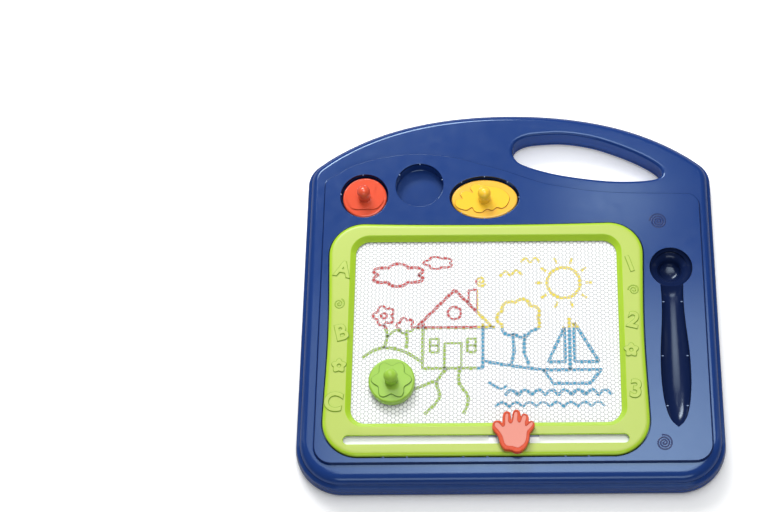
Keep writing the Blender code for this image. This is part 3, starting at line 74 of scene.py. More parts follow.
lens_data = bpy.data.cameras.new("photo_lens")
lens_data.lens = lens_data.sensor_width * FOCAL_PIXELS / IMAGE_WIDTH
lens_data.shift_x = (IMAGE_MIDDLE[0] - CENTRE_PIXEL[0]) / IMAGE_WIDTH
lens_data.shift_y = (CENTRE_PIXEL[1] - IMAGE_MIDDLE[1]) / IMAGE_WIDTH
camera = bpy.data.objects.new("photo_camera", lens_data)
bpy.context.scene.collection.objects.link(camera)
back = Vector((0, -math.cos(CAMERA_ELEVATION), math.sin(CAMERA_ELEVATION)))
tilt = Matrix.Rotation(math.pi / 2 - CAMERA_ELEVATION, 4, "X")
camera.matrix_world = (
    Matrix.Translation(CAMERA_TARGET + back * CAMERA_DISTANCE) @ tilt @ Matrix.Rotation(CAMERA_ROLL, 4, "Z")
)
bpy.context.scene.camera = camera
print("camera at", [round(v, 3) for v in camera.matrix_world.translation])

# %% [markdown]
# ## Shader helper
#
# Node trees are easier to read as sums. `Signal` wraps one output socket, so `1 - mask * 0.5`
# adds the Math nodes it needs. Every other node comes from `Finish.add`, which takes the node's
# type, its settings and the values or signals of its inputs.


# %% Signals
class Signal:
    """An output socket on which Python's operators add Math nodes."""

    def __init__(self, finish, socket):
        self.finish = finish
        self.socket = socket

    def math(self, operation, *values):
        return self.finish.add("ShaderNodeMath", {"operation": operation}, dict(enumerate(values)))

    def __add__(self, other):
        return self.math("ADD", self, other)

    __radd__ = __add__

    def __sub__(self, other):
        return self.math("SUBTRACT", self, other)

    def __rsub__(self, other):
        return self.math("SUBTRACT", other, self)

    def __mul__(self, other):
        return self.math("MULTIPLY", self, other)

    __rmul__ = __mul__

    def __abs__(self):
        return self.math("ABSOLUTE", self)

    def clamp(self):
        return self.math("MAXIMUM", self.math("MINIMUM", self, 1), 0)

    def above(self, level, slope):
        """0 up to the level, then rising to 1."""
        return ((self - level) * slope).clamp()

    def below(self, level, slope):
        """1 under the level, falling to 0 at it."""
        return ((level - self) * slope).clamp()


print("signals can:", [name for name in vars(Signal) if name in ("math", "clamp", "above", "below")])


# %% Finishes
class Finish:
    """A material, its Principled shader and a short way to add nodes."""

    def __init__(self, name, **values):
        self.material = bpy.data.materials.new(name)
        self.material.use_nodes = True
        self.tree = self.material.node_tree
        self.shader = self.tree.nodes["Principled BSDF"]
        self.paint(**values)

    def set(self, node, values):
        """Fills a node's inputs, by index or name."""
        for key, value in values.items():
            socket = node.inputs[key]
            if isinstance(value, Signal):
                self.tree.links.new(value.socket, socket)
            elif isinstance(value, tuple) and len(value) == 3 and len(socket.default_value) == 4:
                socket.default_value = (*value, 1)
            else:
                socket.default_value = value

    def paint(self, **values):
        """Fills the shader's own inputs, with their spaces written as underscores."""
        self.set(self.shader, {key.replace("_", " "): value for key, value in values.items()})

    def add(self, kind, settings=None, values=None, output=0):
        """A node of that type; returns one of its outputs as a signal."""
        node = self.tree.nodes.new(kind)
        for key, value in (settings or {}).items():
            setattr(node, key, value)
        self.set(node, values or {})
        return Signal(self, node.outputs[output])

    def place(self):
        """The point on the piece, in metres."""
        return self.add("ShaderNodeTexCoord", output="Object")

    def axis(self, letter, of="Object"):
        """One coordinate of the point on the piece, or of the way its surface faces."""
        vector = self.add("ShaderNodeTexCoord", output=of)
        return self.add("ShaderNodeSeparateXYZ", None, {0: vector}, output=letter)

    def noise(self, size, detail=2.0, stretch=None):
        """Noise with features of about that size, from 0 to 1."""
        where = self.place()
        if stretch:
            where = self.add("ShaderNodeMapping", None, {"Vector": where, "Scale": stretch})
        return self.add("ShaderNodeTexNoise", None, {"Vector": where, "Scale": 1 / size, "Detail": detail})

    def mix(self, factor, first, second):
        """A blend of two colours."""
        return self.add("ShaderNodeMix", {"data_type": "RGBA"}, {0: factor, 6: first, 7: second}, output=2)

    def bump(self, height, distance, strength):
        """Feeds the shader's normal from a height signal."""
        values = {"Height": height, "Distance": distance, "Strength": strength}
        self.paint(Normal=self.add("ShaderNodeBump", None, values))


print("shader helper ready")

# %% [markdown]
# ## Studio
#
# The picture is a catalogue shot on white paper with soft shadows. Polished plastic shows mostly
# what it mirrors, so each lamp stands where its mirror image is wanted. Two cool softboxes, one
# inside the other, hang overhead: they are mirrored in the flats nearest the viewer and fade
# towards the grip hole, which is why the same blue looks pale at the foot and deep at the head. A
# small patch is mirrored below the grip hole, a strong lamp behind at the left gives the bright
# points on rims and knobs, and two low strips draw thin light lines along the rounded edges. A
# front fill opens the near sides. The last lamp, overhead, is hidden from mirror images and only
# gives soft light. Lamps are placed in metres.

# %% Lamps
bpy.context.scene.view_settings.view_transform = "Standard"


def lamp(name, place, aim, width, height, radiance, colour=(1, 1, 1)):
    """An area lamp that faces a point, its power worked out from how bright its face looks."""
    data = bpy.data.lights.new(name, "AREA")
    data.shape = "RECTANGLE"
    data.size, data.size_y = width, height
    data.energy = radiance * 4 * width * height
    data.color = colour
    made = bpy.data.objects.new(name, data)
    bpy.context.scene.collection.objects.link(made)
    made.location = place
    made.rotation_euler = (Vector(aim) - Vector(place)).to_track_quat("-Z", "Y").to_euler()
    return made


COOL = (0.96, 0.98, 1.0)
lamp("softbox", (0.10, 0.16, 1.55), (0.10, 0.16, 0.0), 0.94, 0.92, 2.35, COOL)
lamp("softbox_middle", (0.12, 0.12, 1.60), (0.12, 0.12, 0.0), 0.56, 0.62, 1.55, COOL)
lamp("head_patch", (0.20, 0.83, 1.55), (0.06, 0.09, 0.0), 0.17, 0.10, 4.2, COOL)
lamp("left_strip", (-1.35, 0.25, 0.75), (0, 0, 0), 0.06, 1.2, 1.2)
lamp("right_strip", (1.35, 0.25, 0.75), (0, 0, 0), 0.06, 1.2, 1.2)
lamp("rear", (-0.42, 1.12, 1.15), (0, 0, 0), 0.80, 0.42, 13.0)
lamp("front_fill", (0.15, -1.5, 1.0), (0, 0, 0), 1.4, 0.5, 1.6)
overhead = lamp("overhead_rear", (-0.02, 0.88, 1.45), (0, 0, 0), 0.9, 0.8, 2.2)
overhead.visible_glossy = False
print("lamps:", len(bpy.data.lights))

# %% [markdown]
# The world answers each kind of ray with its own background: white for the camera, nearly dark
# for mirror images, so that the plastics keep their depth, and a weak even light for the rest.

# %% World
world = bpy.data.worlds.new("studio_world")
bpy.context.scene.world = world
world.use_nodes = True
tree = world.node_tree
rays = tree.nodes.new("ShaderNodeLightPath")


def sky(colour, strength):
    """One background for the world."""
    node = tree.nodes.new("ShaderNodeBackground")
    node.inputs["Color"].default_value = (*colour, 1)
    node.inputs["Strength"].default_value = strength
    return node.outputs[0]


def choose(ray, plain, chosen):
    """One background for most rays and another for one kind of ray."""
    node = tree.nodes.new("ShaderNodeMixShader")
    tree.links.new(rays.outputs[ray], node.inputs["Fac"])
    tree.links.new(plain, node.inputs[1])
    tree.links.new(chosen, node.inputs[2])
    return node.outputs[0]


seen = choose("Is Glossy Ray", sky((0.97, 0.98, 1.0), 0.22), sky((0.80, 0.88, 1.0), 0.04))
seen = choose("Is Camera Ray", seen, sky((1, 1, 1), 1.0))
tree.links.new(seen, tree.nodes["World Output"].inputs["Surface"])
print("world nodes:", len(tree.nodes))

# %% [markdown]
# The paper must look white but not bright enough to drown the shadows. So it glows for the camera
# only: a little in front of the board, more behind it, and most far away. In mirror images it is
# darker, so that the board's rims keep their deep blue.

# %% Ground paper
HALF_GROUND = 4000 * MM
PAPER, MIRRORED_PAPER = (0.93, 0.93, 0.93), (0.32, 0.33, 0.37)
NEAR_GLOW, BEHIND_GLOW, FAR_GLOW = 0.06, 0.22, 0.70
BEHIND_FROM, FAR_FROM = -200 * MM, 550 * MM
ground_mesh = bpy.data.meshes.new("ground")
ground_corners = [(x * HALF_GROUND, y * HALF_GROUND, 0) for x, y in ((-1, -1), (1, -1), (1, 1), (-1, 1))]
ground_mesh.from_pydata(ground_corners, [], [(0, 1, 2, 3)])
ground = bpy.data.objects.new("ground", ground_mesh)
bpy.context.scene.collection.objects.link(ground)
ground.location.z = -0.3 * MM
paper = Finish("ground_paper", Roughness=0.9, Specular_IOR_Level=0.0, Emission_Strength=1.0)
away = paper.add("ShaderNodeVectorMath", {"operation": "LENGTH"}, {0: paper.place()}, output="Value")
behind = paper.axis("Y").above(BEHIND_FROM, 4)
glow = away.above(FAR_FROM, 2) * FAR_GLOW + behind * BEHIND_GLOW + NEAR_GLOW
seen_glow = paper.add("ShaderNodeLightPath", output="Is Camera Ray") * glow
mirrored = paper.add("ShaderNodeLightPath", output="Is Glossy Ray")
paper.paint(
    Base_Color=paper.mix(mirrored, PAPER, MIRRORED_PAPER),
    Emission_Color=paper.mix(seen_glow, (0, 0, 0), (1, 1, 1)),
)
ground_mesh.materials.append(paper.material)
print("ground:", round(2 * HALF_GROUND), "m wide")

# %% [markdown]
# ## Plastics
#
# Each plastic is one polished or frosted moulding: a base colour with a faint cloudiness, gloss
# that varies a little where hands have touched it, and a grain far finer than the eye resolves
# on the flats. The wells are the same blue, but the pen's deep, steep-walled one is painted navy,
# as painted shade of its depth.


# %% Plastics
def plastic(name, colour, roughness, cloud=0.05, grain=0.02 * MM, **values):
    """A moulded plastic: cloudy colour, uneven gloss and a very fine grain."""
    made = Finish(name, **values)
    deeper = tuple(c * (1 - 2 * cloud) for c in colour)
    made.paint(
        Base_Color=made.mix(made.noise(60 * MM, 3.0), deeper, colour),
        Roughness=made.noise(9 * MM, 4.0) * 0.10 + (roughness - 0.05),
    )
    made.bump(made.noise(0.35 * MM), grain, 0.35)
    return made


print("plastic helper ready")

# %% The board's plastics
BLUE = (0.013, 0.044, 0.200)
PEN_WELL_SHADE_NAVY = (0.006, 0.014, 0.060)
LIME_POLISHED = (0.410, 0.640, 0.036)
FROSTED_FROM = 0.93
# Painted sheen: the up-facing lime flats get this paler colour, the slopes a deeper one.
LIME_FROSTED_SHEEN = (0.440, 0.560, 0.078)
RED = (0.800, 0.098, 0.042)
HAND_RED = (0.680, 0.082, 0.028)
SALMON = (0.810, 0.310, 0.245)
AMBER = (1.000, 0.540, 0.060)
YELLOW = (1.000, 0.600, 0.040)
GREEN = (0.330, 0.570, 0.065)

shell_blue = plastic("shell_blue", BLUE, 0.16, Specular_IOR_Level=0.75, Specular_Tint=(0.62, 0.84, 1.0))
# Painted shade: the pen's deep well is painted navy.
pen_well_shade_navy = plastic("pen_well_shade_navy", PEN_WELL_SHADE_NAVY, 0.18, Specular_IOR_Level=0.45, Specular_Tint=(0.72, 0.86, 1.0))
eraser_red = plastic("eraser_red", HAND_RED, 0.22, Specular_IOR_Level=0.15)
eraser_salmon = plastic("eraser_salmon", SALMON, 0.42, Specular_IOR_Level=0.12)
GLOSS = {"Coat_Weight": 0.45, "Coat_Roughness": 0.05}
stamp_red = plastic("stamp_red", RED, 0.13, Specular_IOR_Level=0.5, **GLOSS)
stamp_amber = plastic("stamp_amber", AMBER, 0.14, Specular_IOR_Level=0.5, **GLOSS)
stamp_yellow = plastic("stamp_yellow", YELLOW, 0.13, Specular_IOR_Level=0.5, **GLOSS)
stamp_green = plastic("stamp_green", GREEN, 0.13, Specular_IOR_Level=0.3)
shoe_grey = plastic("shoe_grey", (0.30, 0.31, 0.42), 0.35)
track_white = plastic("track_white", (0.98, 0.98, 0.98), 0.45, cloud=0.005)
magnet_dark = plastic("magnet_dark", (0.06, 0.06, 0.065), 0.65, grain=0.08 * MM)
print("plastics:", len(bpy.data.materials))


# %% Lime and steel
def lime_finish(name, slope_colour):
    """Lime plastic: frosted and painted paler as painted sheen where it faces up, polished on slopes."""
    made = Finish(name, Specular_IOR_Level=0.55)
    frosted = made.axis("Z", "Normal").above(FROSTED_FROM, 18)
    made.paint(
        # Painted sheen: paler colour where the surface faces up.
        Base_Color=made.mix(frosted, slope_colour, LIME_FROSTED_SHEEN),
        Roughness=frosted * 0.22 + made.noise(8 * MM, 3.0) * 0.05 + 0.13,
    )
    made.bump(made.noise(0.3 * MM) * frosted, 0.03 * MM, 0.5)
    return made


bezel_lime = lime_finish("bezel_lime", LIME_POLISHED)

screw_steel = Finish("screw_steel", Metallic=1.0)
brushed = screw_steel.noise(0.6 * MM, 4.0, (1, 1, 6))
screw_steel.paint(
    Base_Color=screw_steel.mix(brushed, (0.42, 0.43, 0.44), (0.62, 0.63, 0.64)),
    Roughness=brushed * 0.2 + 0.25,
)
print("finishes:", len(bpy.data.materials))

# %% [markdown]
# ## Outlines
#
# Everything on the board is a plan outline pushed through a side profile. The outlines repeat the
# sizes of the packed model with many more points, so that round corners stay round up close.


# %% Outline helpers
def around(centre, angle, across, upward=None):
    """The point at an angle on a circle, or on an ellipse with another half height."""
    upward = across if upward is None else upward
    return (centre[0] + across * math.cos(angle), centre[1] + upward * math.sin(angle))


def arc(centre, radius, start, end, steps):
    """Points on an arc from start to end, in degrees, both ends included."""
    angles = [math.radians(start + (end - start) * k / steps) for k in range(steps + 1)]
    return [around(centre, a, radius) for a in angles]


def ellipse(centre, half_length, half_width, steps=96):
    """A closed ellipse."""
    return [around(centre, math.tau * k / steps, half_length, half_width) for k in range(steps)]


def quarter(width, height, steps, growth=0, level=0):
    """A quarter ellipse as steps of (growth, height), from its upright end to its flat end.

    It leans inwards where the width is negative. Where the height is negative it hangs down, and
    starts at its flat end, so that the steps still run upwards.
    """
    turns = [math.pi / 2 * k / steps for k in range(steps + 1)]
    moves = [(growth + width * (1 - math.cos(a)), level + height * math.sin(a)) for a in turns]
    return moves if height > 0 else moves[::-1]


def smooth_through(points, steps, closed=True):
    """A Catmull-Rom curve through the points."""
    count = len(points)
    curve = []
    for span in range(count if closed else count - 1):
        near = [
            points[(span + k) % count] if closed else points[min(max(span + k, 0), count - 1)]
            for k in (-1, 0, 1, 2)
        ]
        before, start, end, after = (Vector(p) for p in near)
        for step in range(steps):
            t = step / steps
            place = start + (end - before) * (t / 2)
            place += (before * 2 - start * 5 + end * 4 - after) * (t * t / 2)
            place += (start * 3 - before - end * 3 + after) * (t * t * t / 2)
            curve.append(tuple(place))
    return curve if closed else curve + [tuple(points[-1])]


print("a quarter in two steps:", quarter(1, 1, 2))

# %% [markdown]
# An outline grows by moving every point along the middle of its two sides' directions. Moved
# inwards, a tight curve would loop through itself, so such loops are bridged with straight lines.
# The number of points stays the same, which lets `skin` join the grown outlines ring by ring.


# %% Growing an outline
def uncrossed(outline, moved, distance):
    """The moved outline with straight bridges where it would have looped through itself."""
    start = np.array(outline)
    points, run = np.array(moved), np.roll(start, -1, axis=0) - start
    away = points[:, None] - start[None]
    along = ((away * run).sum(axis=2) / np.maximum((run * run).sum(axis=1), 1e-12)).clip(0, 1)
    nearest = np.linalg.norm(away - along[:, :, None] * run[None], axis=2).min(axis=1)
    good = np.flatnonzero(nearest > distance * 0.97)
    if len(good) in (0, len(points)):
        return moved
    order = np.arange(len(points))
    bridged = [np.interp(order, good, points[good, axis], period=len(points)) for axis in (0, 1)]
    return list(zip(*(axis.tolist() for axis in bridged)))


def grown(outline, distance):
    """The counter-clockwise outline moved outwards, or inwards where the distance is negative."""
    moved = []
    for index, point in enumerate(outline):
        here = Vector(point)
        arrive = (here - Vector(outline[index - 1])).normalized()
        leave = (Vector(outline[(index + 1) % len(outline)]) - here).normalized()
        before, after = Vector((arrive.y, -arrive.x)), Vector((leave.y, -leave.x))
        moved.append(tuple(here + (before + after) * (distance / (1 + before.dot(after)))))
    return uncrossed(outline, moved, -distance) if distance < 0 else moved


print("a circle grown by 1:", [round(c, 3) for c in grown(ellipse((0, 0), 1, 1), 1)[0]])


# %% Rounded and drawn outlines
def rounded_polygon(corners, corner_steps=20, side_steps=1):
    """A counter-clockwise polygon of (x, y, radius) corners."""
    points = []
    count = len(corners)
    for index, (x, y, radius) in enumerate(corners):
        here = Vector((x, y))
        if not radius:
            points.append(tuple(here))
            continue
        before = (Vector(corners[index - 1][:2]) - here).normalized()
        after = (Vector(corners[(index + 1) % count][:2]) - here).normalized()
        half_angle = before.angle(after) / 2
        centre = here + (before + after).normalized() * (radius / math.sin(half_angle))
        first = here + before * (radius / math.tan(half_angle)) - centre
        for step in range(corner_steps + 1):
            swung = first.copy()
            swung.rotate(Matrix.Rotation((math.pi - 2 * half_angle) * step / corner_steps, 2))
            points.append(tuple(centre + swung))
    if side_steps == 1:
        return points
    divided = []
    for index, point in enumerate(points):
        divided.append(point)
        if (index + 1) % (corner_steps + 1) == 0:
            start, end = Vector(point), Vector(points[(index + 1) % len(points)])
            divided += [tuple(start.lerp(end, s / side_steps)) for s in range(1, side_steps)]
    return divided


def rectangle(left, right, low, high, foot_radius, head_radius):
    """The corners of a rectangle, for rounded_polygon."""
    foot = [(left, low, foot_radius), (right, low, foot_radius)]
    return foot + [(right, high, head_radius), (left, high, head_radius)]


def drawn(shares, origin, size, steps):
    """A smooth closed outline through shares of a size, turned to run counter-clockwise."""
    points = [(origin[0] + x * size[0], origin[1] + y * size[1]) for x, y in shares]
    return smooth_through(points, steps)[::-1]


print("outline helpers ready")

# %% [markdown]
# The board's own outlines follow. The shares are points along a wave or a rim, as parts of the
# size that it belongs to.

# %% Plan of the board
shell_low, shell_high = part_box("front_shell")
back_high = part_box("back_shell")[1]
bezel_low, bezel_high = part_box("screen_bezel")
RIGHT, TOP = back_high[0], back_high[1]
PANEL_LEVEL, LEDGE_LEVEL = shell_high[2], shell_high[2] - 3 * MM
BEZEL_LEFT, BEZEL_RIGHT = bezel_low[0], bezel_high[0]
BEZEL_LOW, BEZEL_HIGH = bezel_low[1], bezel_high[1]
BEZEL_FACE = bezel_high[2]
BEZEL_X = (BEZEL_LEFT + BEZEL_RIGHT) / 2
HEAD = TOP - BEZEL_HIGH
BEZEL_SIDE, BEZEL_FOOT, BEZEL_HEAD = 22.5 * MM, 28.5 * MM, 15.5 * MM
WINDOW = (BEZEL_LEFT + BEZEL_SIDE, BEZEL_RIGHT - BEZEL_SIDE, BEZEL_LOW + BEZEL_FOOT, BEZEL_HIGH - BEZEL_HEAD)
WAVE_SHARES = (
    (-0.825, 0.443), (-0.775, 0.491), (-0.675, 0.548), (-0.574, 0.581), (-0.459, 0.596),
    (-0.357, 0.586), (-0.249, 0.556), (-0.140, 0.504), (-0.032, 0.453), (0.065, 0.396),
    (0.175, 0.337), (0.284, 0.302), (0.394, 0.274), (0.540, 0.255), (0.686, 0.249), (0.832, 0.244),
)  # fmt: skip
HANDLE_SHARES = (
    (0.000, 0.655), (0.017, 0.790), (0.052, 0.885), (0.118, 0.958), (0.215, 0.990), (0.330, 1.000),
    (0.445, 0.968), (0.570, 0.894), (0.694, 0.775), (0.808, 0.642), (0.903, 0.502), (0.968, 0.374),
    (0.996, 0.262), (0.998, 0.160), (0.975, 0.085), (0.932, 0.038), (0.857, 0.010), (0.752, 0.000),
    (0.628, 0.012), (0.476, 0.059), (0.323, 0.129), (0.208, 0.206), (0.113, 0.292), (0.046, 0.385),
    (0.010, 0.515),
)  # fmt: skip
SHOULDER_RADIUS, FOOT_RADIUS = 24 * MM, 40 * MM
ARCH_FALL = (0.212, 0.110)
HANDLE_SIZE = (136.2 * MM, 52.2 * MM)
HANDLE_CORNER = (RIGHT - 40.7 * MM - HANDLE_SIZE[0], TOP - 21.7 * MM - HANDLE_SIZE[1])

# %% [markdown]
# The wall of the grip hole is painted paler than the polished shell round it, as painted light
# inside the hole, and the slope round the raised panel is painted darker than the flats, as painted
# shade along the panel's edge. Both belong to the shell's one moulding, so masks pick them out: by
# place, and by how flat the surface lies.

# %% Painted light on the grip hole's wall and painted shade on the panel's edge
# The first colour is painted light on the grip hole's wall; the second is painted shade on the slope round
# the panel.
GRIP_WALL_LIGHT_BLUE = (0.034, 0.100, 0.380)
PANEL_EDGE_SHADE_BLUE = (0.004, 0.015, 0.085)
GRIP_MARGIN = 3 * MM
GRIP_HEAD, HEAD_FALL, GRIP_TOP = 82.8 * MM, 0.308, 65 * MM
SLOPE_FOOT = 24.2 * MM
WALL_FLATNESS, SLOPE_FLATNESS = 0.45, 0.96
grip_x = shell_blue.axis("X") - (HANDLE_CORNER[0] - GRIP_MARGIN)
grip_y = shell_blue.axis("Y") - (HANDLE_CORNER[1] - GRIP_MARGIN)
flatness = abs(shell_blue.axis("Z", "Normal"))
under_arch = grip_y.below(GRIP_HEAD - grip_x * HEAD_FALL, 1000) * grip_y.below(GRIP_TOP, 1000)
painted_light_in_hole = grip_x.above(0, 1000) * grip_y.above(0, 1000) * under_arch * flatness.below(WALL_FLATNESS, 6)
# Painted shade: the slope round the raised panel is painted darker, for the dark line along its foot.
painted_shade_on_slope = shell_blue.axis("Z").above(SLOPE_FOOT, 5000) * flatness.below(SLOPE_FLATNESS, 12)
plain_blue = shell_blue.mix(shell_blue.noise(60 * MM, 3.0), tuple(c * 0.9 for c in BLUE), BLUE)
slope_shaded_blue = shell_blue.mix(painted_shade_on_slope, plain_blue, PANEL_EDGE_SHADE_BLUE)
shell_blue.paint(Base_Color=shell_blue.mix(painted_light_in_hole, slope_shaded_blue, GRIP_WALL_LIGHT_BLUE))
print("grip hole starts at", [round(c, 4) for c in HANDLE_CORNER])

# %% The board's outlines
PANEL_LEFT, PANEL_RIGHT, PANEL_LOW = -RIGHT + 18 * MM, RIGHT - 14 * MM, -TOP + 20.8 * MM
PANEL_RADIUS, WAVE_RADIUS_RIGHT, WAVE_RADIUS_LEFT = 14.2 * MM, 10 * MM, 6 * MM
WAVE_START = 0.371
BEZEL_FOOT_RADIUS, BEZEL_HEAD_RADIUS, WINDOW_RADIUS = 30 * MM, 29 * MM, 12 * MM
SIDE_BOW, TOP_BOW = 2 * MM, 1.4 * MM
BOW_MIDDLE, BOW_REACH = 0.52, 0.42


def board_outline(foot_rise=0):
    """Straight sides, round feet and shoulders, and an arched top."""
    square, fourth = ARCH_FALL
    low, shoulder_y = -TOP + foot_rise, TOP - RIGHT * (square + fourth)
    corners = [(-RIGHT, low, FOOT_RADIUS), (RIGHT, low, FOOT_RADIUS), (RIGHT, shoulder_y, SHOULDER_RADIUS)]
    for step in range(61):
        share = 0.9 * (1 - step / 30)
        corners.append((RIGHT * share, TOP - RIGHT * (square * share**2 + fourth * share**4), 0))
    return rounded_polygon(corners + [(-RIGHT, shoulder_y, SHOULDER_RADIUS)])


def panel_outline():
    """The raised panel's flat top, with its wave under the grip hole."""
    wave = [(x * RIGHT, BEZEL_HIGH + y * HEAD) for x, y in WAVE_SHARES]
    wave = smooth_through(wave, 6, closed=False)
    corners = [(PANEL_LEFT, PANEL_LOW, PANEL_RADIUS), (PANEL_RIGHT, PANEL_LOW, PANEL_RADIUS)]
    corners += [(PANEL_RIGHT, wave[-1][1], WAVE_RADIUS_RIGHT)] + [(x, y, 0) for x, y in reversed(wave)]
    return rounded_polygon(corners + [(PANEL_LEFT, BEZEL_HIGH + WAVE_START * HEAD, WAVE_RADIUS_LEFT)])


def bezel_outline():
    """The bezel: generous corners, with its sides and its top bowed in a little."""
    radii = (BEZEL_FOOT_RADIUS, BEZEL_HEAD_RADIUS)
    corners = rectangle(BEZEL_LEFT, BEZEL_RIGHT, BEZEL_LOW, BEZEL_HIGH, *radii)
    half_run = (BEZEL_RIGHT - BEZEL_LEFT) / 2 - BEZEL_HEAD_RADIUS
    points = []
    for x, y in rounded_polygon(corners, side_steps=24):
        away = ((y - BEZEL_LOW) / (BEZEL_HIGH - BEZEL_LOW) - BOW_MIDDLE) / BOW_REACH
        along = (x - BEZEL_X) / half_run
        x -= math.copysign(SIDE_BOW * max(0, 1 - away**2) ** 2, x - BEZEL_X)
        y -= TOP_BOW * max(0, 1 - along**2) if y > BEZEL_HIGH - BEZEL_HEAD_RADIUS else 0
        points.append((x, y))
    return points


def window_outline():
    """The bezel's window, with as many points as the bezel's outline."""
    return rounded_polygon(rectangle(*WINDOW, WINDOW_RADIUS, WINDOW_RADIUS), side_steps=24)


def handle_outline():
    """The rim of the slanted grip hole."""
    return drawn(HANDLE_SHARES, HANDLE_CORNER, HANDLE_SIZE, 8)


print("board outline:", len(board_outline()), "points; bezel:", len(bezel_outline()))

# %% [markdown]
# ## Making and carving solids
#
# `skin` joins rings of equally many points into one closed solid. `carve` cuts or adds other
# solids with exact Booleans, then keeps only the finished mesh. Weighted normals let the large
# flats stay flat in the light while the rounded rims still look round.


# %% Solid helpers
def new_piece(name, mesh):
    """An object at the origin."""
    piece = bpy.data.objects.new(name, mesh)
    bpy.context.scene.collection.objects.link(piece)
    return piece


def skin(name, rings, closed=False):
    """A solid through rings of (x, y, z) points."""
    bm = bmesh.new()
    loops = [[bm.verts.new(p) for p in ring] for ring in rings]
    pairs = list(zip(loops, loops[1:]))
    if closed:
        pairs.append((loops[-1], loops[0]))
    else:
        bm.faces.new(reversed(loops[0]))
        bm.faces.new(loops[-1])
    for lower, upper in pairs:
        for index in range(len(lower)):
            after = (index + 1) % len(lower)
            bm.faces.new((lower[index], lower[after], upper[after], upper[index]))
    bmesh.ops.recalc_face_normals(bm, faces=bm.faces)
    mesh = bpy.data.meshes.new(name)
    bm.to_mesh(mesh)
    bm.free()
    return new_piece(name, mesh)


def level_ring(outline, growth, height):
    """The outline, grown and lifted to a height."""
    return [(x, y, height) for x, y in grown(outline, growth)]


def stack(name, outline, steps):
    """A solid from one outline: each step is how far it is grown, and its height."""
    return skin(name, [level_ring(outline, *step) for step in steps])


def lathe(name, profile, centre, steps=48):
    """A turned solid from (radius, height) points that run from its top to its bottom."""
    circles = [(ellipse(centre, radius, radius, steps), height) for radius, height in profile[::-1]]
    return skin(name, [[(x, y, height) for x, y in circle] for circle, height in circles])


print("solids from rings ready")


# %% Carving and finishing helpers
def evaluated_mesh(piece):
    """The object's shape with its modifiers applied, as a plain mesh."""
    bpy.context.view_layer.update()
    return bpy.data.meshes.new_from_object(piece.evaluated_get(bpy.context.evaluated_depsgraph_get()))


def bake(piece):
    """Makes the evaluated shape the object's own mesh, and removes the modifiers."""
    mesh = evaluated_mesh(piece)
    piece.modifiers.clear()
    piece.data = mesh


def carve(body, others, operation):
    """Adds or cuts other solids, bakes the result and removes them."""
    for other in others:
        modifier = body.modifiers.new(operation, "BOOLEAN")
        modifier.operation = operation
        modifier.solver = "EXACT"
        modifier.object = other
    bake(body)
    for other in others:
        bpy.data.objects.remove(other)


def soften(piece, angle=35):
    """Smooth shading with sharp edges kept and normals weighted by face size."""
    piece.data.shade_smooth()
    piece.data.set_sharp_from_angle(angle=math.radians(angle))
    piece.modifiers.new("weigh", "WEIGHTED_NORMAL").keep_sharp = True


def coat(piece, *finishes, second=None):
    """Gives a piece its finishes, the second one to the faces whose middle passes a test."""
    piece.data.materials.clear()
    for finish in finishes:
        piece.data.materials.append(finish.material)
    if second:
        for face in piece.data.polygons:
            face.material_index = int(second(*face.center))


print("solid helpers ready")

# %% [markdown]
# ## Front shell
#
# One injection moulding: a rounded rim at the parting line, an elliptical shoulder up to the
# ledge, a low step up to the raised panel, and the wells sunk into it. It is carved from a plain
# solid, the outside first, then the hollow behind, and last the wells and openings. The wells are
# measured before that, because the catches and the stamps use their sizes too.

# %% Wells
WALL = 2.4 * MM
WELL_WALL = 1.8 * MM
OVER = 2 * MM
WELL_FLOOR = PANEL_LEVEL - 12 * MM
STAMP_RADIUS = 19 * MM
WELL_RADIUS = STAMP_RADIUS + 1.5 * MM


def middle(node):
    """The middle of a node's plan."""
    low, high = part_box(node)
    return ((low[0] + high[0]) / 2, (low[1] + high[1]) / 2)


RED_PLACE, YELLOW_PLACE, GREEN_PLACE = (middle(f"{c}_stamp_base") for c in ("red", "yellow", "green"))
EMPTY_PLACE = (RED_PLACE[0] + 47.4 * MM, RED_PLACE[1] + 10.0 * MM)
WELLS = [
    (RED_PLACE, WELL_RADIUS, WELL_RADIUS),
    (EMPTY_PLACE, WELL_RADIUS, WELL_RADIUS),
    (YELLOW_PLACE, 30 * MM, 20.2 * MM),
]
print("wells:", len(WELLS), "red one at", [round(c, 4) for c in RED_PLACE])

# %% [markdown]
# The pen's empty place is a long well with a round head and a swelling belly, whose tip points
# to the foot of the board. Under its head is a deep turned funnel. A row of nearly half-round
# sections makes the well, and a turned profile makes the funnel.

# %% Pen well
PEN_X = BEZEL_RIGHT + 23.2 * MM
PEN_TOP = BEZEL_HIGH - 23.2 * MM
PEN_HEAD_RADIUS, PEN_HEAD_DEPTH = 18.2 * MM, 9 * MM
PEN_HEAD_Y = PEN_TOP - PEN_HEAD_RADIUS
PEN_TIP_Y = PEN_TOP - 159.2 * MM
PEN_BELLY, BELLY_DEPTH = 12.45 * MM, 0.82
PEN_BELLY_SHARES = (
    (0.00, 0.780), (0.10, 0.742), (0.20, 0.762), (0.30, 0.825), (0.40, 0.908), (0.50, 0.975),
    (0.61, 1.000), (0.72, 0.970), (0.81, 0.878), (0.87, 0.768), (0.92, 0.630), (0.965, 0.400),
    (1.00, 0.045),
)  # fmt: skip
BOWL_CENTRE = (PEN_X, PEN_HEAD_Y + 2 * MM)
BOWL_RADIUS = 9.4 * MM

print("pen well:", round((PEN_TOP - PEN_TIP_Y) / MM, 1), "mm long")


